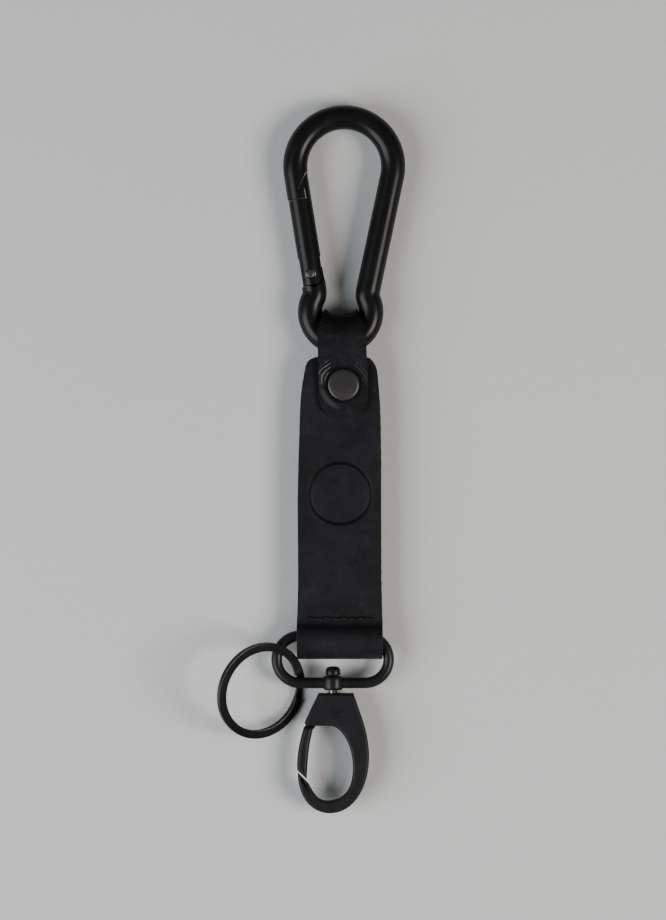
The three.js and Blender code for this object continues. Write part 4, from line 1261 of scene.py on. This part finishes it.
# outlines in millimetres from the swivel's axis: points, and curves by two handles, an end and a step count
HOOK_OUTLINE = (
    (-4.5, 0.0), (-5.6, -2.3), (-6.7, -4.6), (-7.8, -7.0), (-8.9, -9.3), (-8.1, -10.1), (-4.5, -10.1),
    (-0.9, -10.1),
    ((2.4, -10.1), (5.6, -15.5), (6.1, -21.1), 14),
    ((6.7, -28.5), (4.6, -33.6), (-1.9, -33.7), 18),
    ((-4.6, -33.7), (-5.9, -31.6), (-7.6, -28.3), 10),
    (-9.3, -26.6), (-11.0, -24.9),
    ((-11.1, -31.0), (-7.6, -37.4), (-0.9, -37.4), 18),
    ((6.4, -37.4), (11.3, -29.4), (11.3, -19.7), 20),
    ((11.3, -12.5), (8.6, -6.6), (6.4, 0.0), 14),
)
HOOK_GATE_OUTLINE = (
    (-9.1, -10.5),
    ((-10.6, -15.5), (-11.4, -19.5), (-11.2, -23.95), 14),
    (-9.7, -25.35), (-8.2, -26.75),
    ((-7.9, -21.0), (-7.6, -15.8), (-6.0, -10.5), 14),
    (-7.5, -10.5),
)
POCKET = ((-14, -12), (-14, -3.2), (-3.1, -3.2), (-1.9, -5.4), (-1.9, -9.0), (-4.2, -12))
HOOK_PIN_HOLE = 1.2 * MM
LUG_ROUND = 2.0 * MM
DIMPLE = (1.2 * MM, -5.8 * MM)
DIMPLE_CUTS = ((1.8 * MM, 0.22 * MM, 48), (0.6 * MM, 0.55 * MM, 32))  # radius, depth and sides
POCKET_HALF = 1.6 * MM  # half the pocket's height
SNAP_GATE_HALF = 2.1 * MM
SNAP_GATE_EDGE = 1.15 * MM
LUG_STEPS = 10


def drawn(outline):
    """An outline's points, with its curves worked out."""
    points = []
    for entry in outline:
        if len(entry) == 2:
            points.append(entry)
        else:
            curve(points, *entry)
    return in_mm(points)


class ORGANISER_OT_hook(bpy.types.Operator):
    """Cast body of the snap hook"""

    bl_idname = "organiser.hook"
    bl_label = "Snap hook body"

    def execute(self, context):
        size = sizes("hook")
        half = size.hook_thickness / 2
        body = plate("snap_hook", drawn(HOOK_OUTLINE), -half, half, size.hook_edge, 4)
        for radius, depth, sides in DIMPLE_CUTS:
            combine(body, rod(radius, half - depth, half + 2 * MM, *DIMPLE, sides))
        combine(body, plate("pocket", in_mm(POCKET), -POCKET_HALF, POCKET_HALF))
        pin = HOOK_PIN - HOOK_TOP
        combine(body, rod(HOOK_PIN_HOLE, -2 * half, 1.9 * MM, pin.x, pin.y))
        combine(body, rod(POST_HOLE, -1 * MM - HOLE_REACH, -1 * MM + HOLE_REACH, axis="Y"))
        place(body, Matrix.Translation(HOOK_TOP))
        settle(body, "hook", coated_metal("hook_paint"), "hook_body", angle=34)
        return {"FINISHED"}


class ORGANISER_OT_hook_gate(bpy.types.Operator):
    """Sprung gate of the snap hook"""

    bl_idname = "organiser.hook_gate"
    bl_label = "Snap hook gate"

    def execute(self, context):
        outline = drawn(HOOK_GATE_OUTLINE)
        gate = plate("snap_gate", outline, -SNAP_GATE_HALF, SNAP_GATE_HALF, SNAP_GATE_EDGE, 5)
        pin = HOOK_PIN - HOOK_TOP
        lug = [(-9.1 * MM, -11.2 * MM), (pin.x - 2.2 * MM, pin.y + 0.5 * MM)]
        for k in range(LUG_STEPS + 1):
            angle = (math.pi - 0.3) * (1 - k / LUG_STEPS)
            lug.append((pin.x + LUG_ROUND * math.cos(angle), pin.y + LUG_ROUND * math.sin(angle)))
        lug.append((-6.0 * MM, -11.2 * MM))
        combine(gate, plate("lug", lug, -1.4 * MM, -0.1 * MM), "UNION")
        combine(gate, rod(HOOK_PIN_HOLE, -6 * MM, 6 * MM, pin.x, pin.y))
        place(gate, Matrix.Translation(HOOK_TOP))
        settle(gate, "hook_gate", coated_metal("hook_paint"), "hook_gate", angle=34)
        return {"FINISHED"}


RING_OFFSET = Vector((-7.3167, -3.9395, 3.56)) * MM  # ring's centre from where it hangs on the wire
RING_TILT = math.radians(33.8)
RING_HEADING = math.radians(157.9)
RING_SPACE = 0.12 * MM
RING_CORNER = 0.22 * MM
RING_OPEN = math.radians(16)  # half the part of a turn in which the ring steps over itself
RING_STEPS = 12


class ORGANISER_OT_split_ring(bpy.types.Operator):
    """Split ring of two flat turns"""

    bl_idname = "organiser.split_ring"
    bl_label = "Split ring"

    def execute(self, context):
        size = sizes("hook")
        middle = (size.ring - size.ring_band) / 2
        wide, high = size.ring_band / 2, size.ring_turn / 2
        level = (size.ring_turn + RING_SPACE) / 2
        section = []
        for sx, sz, start in ((1, 1, 0), (-1, 1, 90), (-1, -1, 180), (1, -1, 270)):
            for k in range(4):
                angle = math.radians(start + 30 * k)
                section.append((
                    middle + sx * (wide - RING_CORNER) + RING_CORNER * math.cos(angle), 0,
                    -level + sz * (high - RING_CORNER) + RING_CORNER * math.sin(angle),
                ))
        ring = trace("split_ring", section)
        bpy.ops.mesh.delete(type="ONLY_FACE")
        bpy.ops.mesh.select_all(action="SELECT")
        bpy.ops.transform.rotate(value=-RING_OPEN, orient_axis="Z", center_override=(0, 0, 0))
        turn_about((0, 0, 0), 2 * math.pi - 2 * RING_OPEN, 110)
        before = 0.0
        for k in range(1, RING_STEPS + 1):
            share = k / RING_STEPS
            now = share * share * (3 - 2 * share)
            turn_about((0, 0, 0), 2 * RING_OPEN / RING_STEPS, 1)
            bpy.ops.transform.translate(value=(0, 0, (now - before) * 2 * level))
            before = now
        turn_about((0, 0, 0), 2 * math.pi - 2 * RING_OPEN, 110)
        bpy.ops.mesh.select_all(action="SELECT")
        bpy.ops.mesh.fill_holes(sides=0)
        alone(ring)
        axis = Vector((math.sin(RING_HEADING), -math.cos(RING_HEADING), 0))
        place(ring, Matrix.Translation(RING_PIVOT + RING_OFFSET) @ Matrix.Rotation(RING_TILT, 4, axis))
        settle(ring, "ring", coated_metal("ring_plating"), "split_ring", angle=32)
        return {"FINISHED"}


class ORGANISER_OT_springs(bpy.types.Operator):
    """Finishes of the springs, the plunger and the hook's pin"""

    bl_idname = "organiser.springs"
    bl_label = "Springs and pins"

    def execute(self, context):
        spring = steel_finish("spring_wire", (0.42, 0.40, 0.37), 0.28)
        dark = steel_finish("pin_steel", (0.10, 0.10, 0.105), 0.35)
        for node, finish in (
            ("carabiner_gate_spring", spring), ("carabiner_gate_plunger", spring),
            ("hook_gate_spring", spring), ("hook_gate_pin", dark),
        ):
            piece = frame["nodes"][node]
            if piece.data.materials:
                piece.material_slots[0].material = finish
            else:
                piece.data.materials.append(finish)
        return {"FINISHED"}


# ---------------------------------------------------------------- stage

FLOOR = 4
CAMERA_HEIGHT = 1.0  # above the middle of the object
VIEW_HEIGHT = 0.2875  # what the picture shows at that distance
CAMERA_SPOT = (6.69 * MM, -0.27 * MM)
SENSOR = 36
# each lamp's name, place, size, power and tint
LAMPS = (
    ("window", (-0.88, -0.36, 0.66), 0.9, 22.6, (0.92, 0.96, 1.0)),
    ("warm_side", (0.85, -0.25, 0.80), 0.5, 17.2, (1.0, 0.94, 0.87)),
)


def lamp(name, spot, size, power, tint):
    """A square soft light that looks at the middle of the floor."""
    alone()
    bpy.ops.object.light_add(type="AREA", location=spot)
    light = bpy.context.object
    light.name = name
    light.data.shape = "SQUARE"
    light.data.size = size
    light.data.energy = power
    light.data.color = tint
    light.rotation_euler = (-Vector(spot)).to_track_quat("-Z", "Y").to_euler()


class ORGANISER_OT_stage(bpy.types.Operator):
    """Paper floor, soft lights and the camera"""

    bl_idname = "organiser.stage"
    bl_label = "Stage"

    def execute(self, context):
        alone()
        bpy.ops.mesh.primitive_plane_add(size=FLOOR, location=(0, 0, 0))
        floor = bpy.context.object
        floor.name = "floor"
        floor.data.materials.append(paper_finish())
        world = bpy.data.worlds.new("soft_room")
        world.use_nodes = True
        back = world.node_tree.nodes["Background"]
        back.inputs["Color"].default_value = (0.93, 0.96, 1.0, 1)
        back.inputs["Strength"].default_value = 0.12
        context.scene.world = world
        for light in LAMPS:
            lamp(*light)
        bpy.ops.object.camera_add(location=(*CAMERA_SPOT, CAMERA_HEIGHT + MID_Z), rotation=(0, 0, 0))
        camera = context.object
        camera.data.sensor_width = SENSOR
        camera.data.lens = SENSOR * CAMERA_HEIGHT / VIEW_HEIGHT
        camera.data.clip_start = 0.01
        camera.data.clip_end = 20
        context.scene.camera = camera
        return {"FINISHED"}


OPERATORS = (
    ORGANISER_OT_stage, ORGANISER_OT_strap, ORGANISER_OT_stitching, ORGANISER_OT_tab,
    ORGANISER_OT_fasteners, ORGANISER_OT_carabiner, ORGANISER_OT_carabiner_gate, ORGANISER_OT_loop,
    ORGANISER_OT_hook, ORGANISER_OT_hook_gate, ORGANISER_OT_split_ring, ORGANISER_OT_springs,
)
GROUPS = (("strap", StrapSizes), ("carabiner", CarabinerSizes), ("hook", HookSizes), ("finishes", Finishes))


class ORGANISER_PT_panel(bpy.types.Panel):
    """Sizes, finishes and pieces of the key organiser"""

    bl_idname = "ORGANISER_PT_panel"
    bl_label = "Key organiser"
    bl_space_type = "VIEW_3D"
    bl_region_type = "UI"
    bl_category = "Organiser"

    def draw(self, context):
        for name, group in GROUPS:
            box = self.layout.box()
            box.label(text=name.capitalize())
            for entry in group.__annotations__:
                box.prop(getattr(context.scene, "organiser_" + name), entry)
        for operator in OPERATORS:
            self.layout.operator(operator.bl_idname)


CLASSES = (*(group for _, group in GROUPS), *OPERATORS, ORGANISER_PT_panel)


def register():
    for entry in CLASSES:
        bpy.utils.register_class(entry)
    for name, group in GROUPS:
        setattr(bpy.types.Scene, "organiser_" + name, PointerProperty(type=group))


def unregister():
    for name, _ in GROUPS:
        delattr(bpy.types.Scene, "organiser_" + name)
    for entry in reversed(CLASSES):
        bpy.utils.unregister_class(entry)


def main():
    """Register the add-on and build every piece."""
    register()
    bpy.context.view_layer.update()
    for operator in OPERATORS:
        space, name = operator.bl_idname.split(".")
        getattr(getattr(bpy.ops, space), name)()


if __name__ == "__main__":
    main()
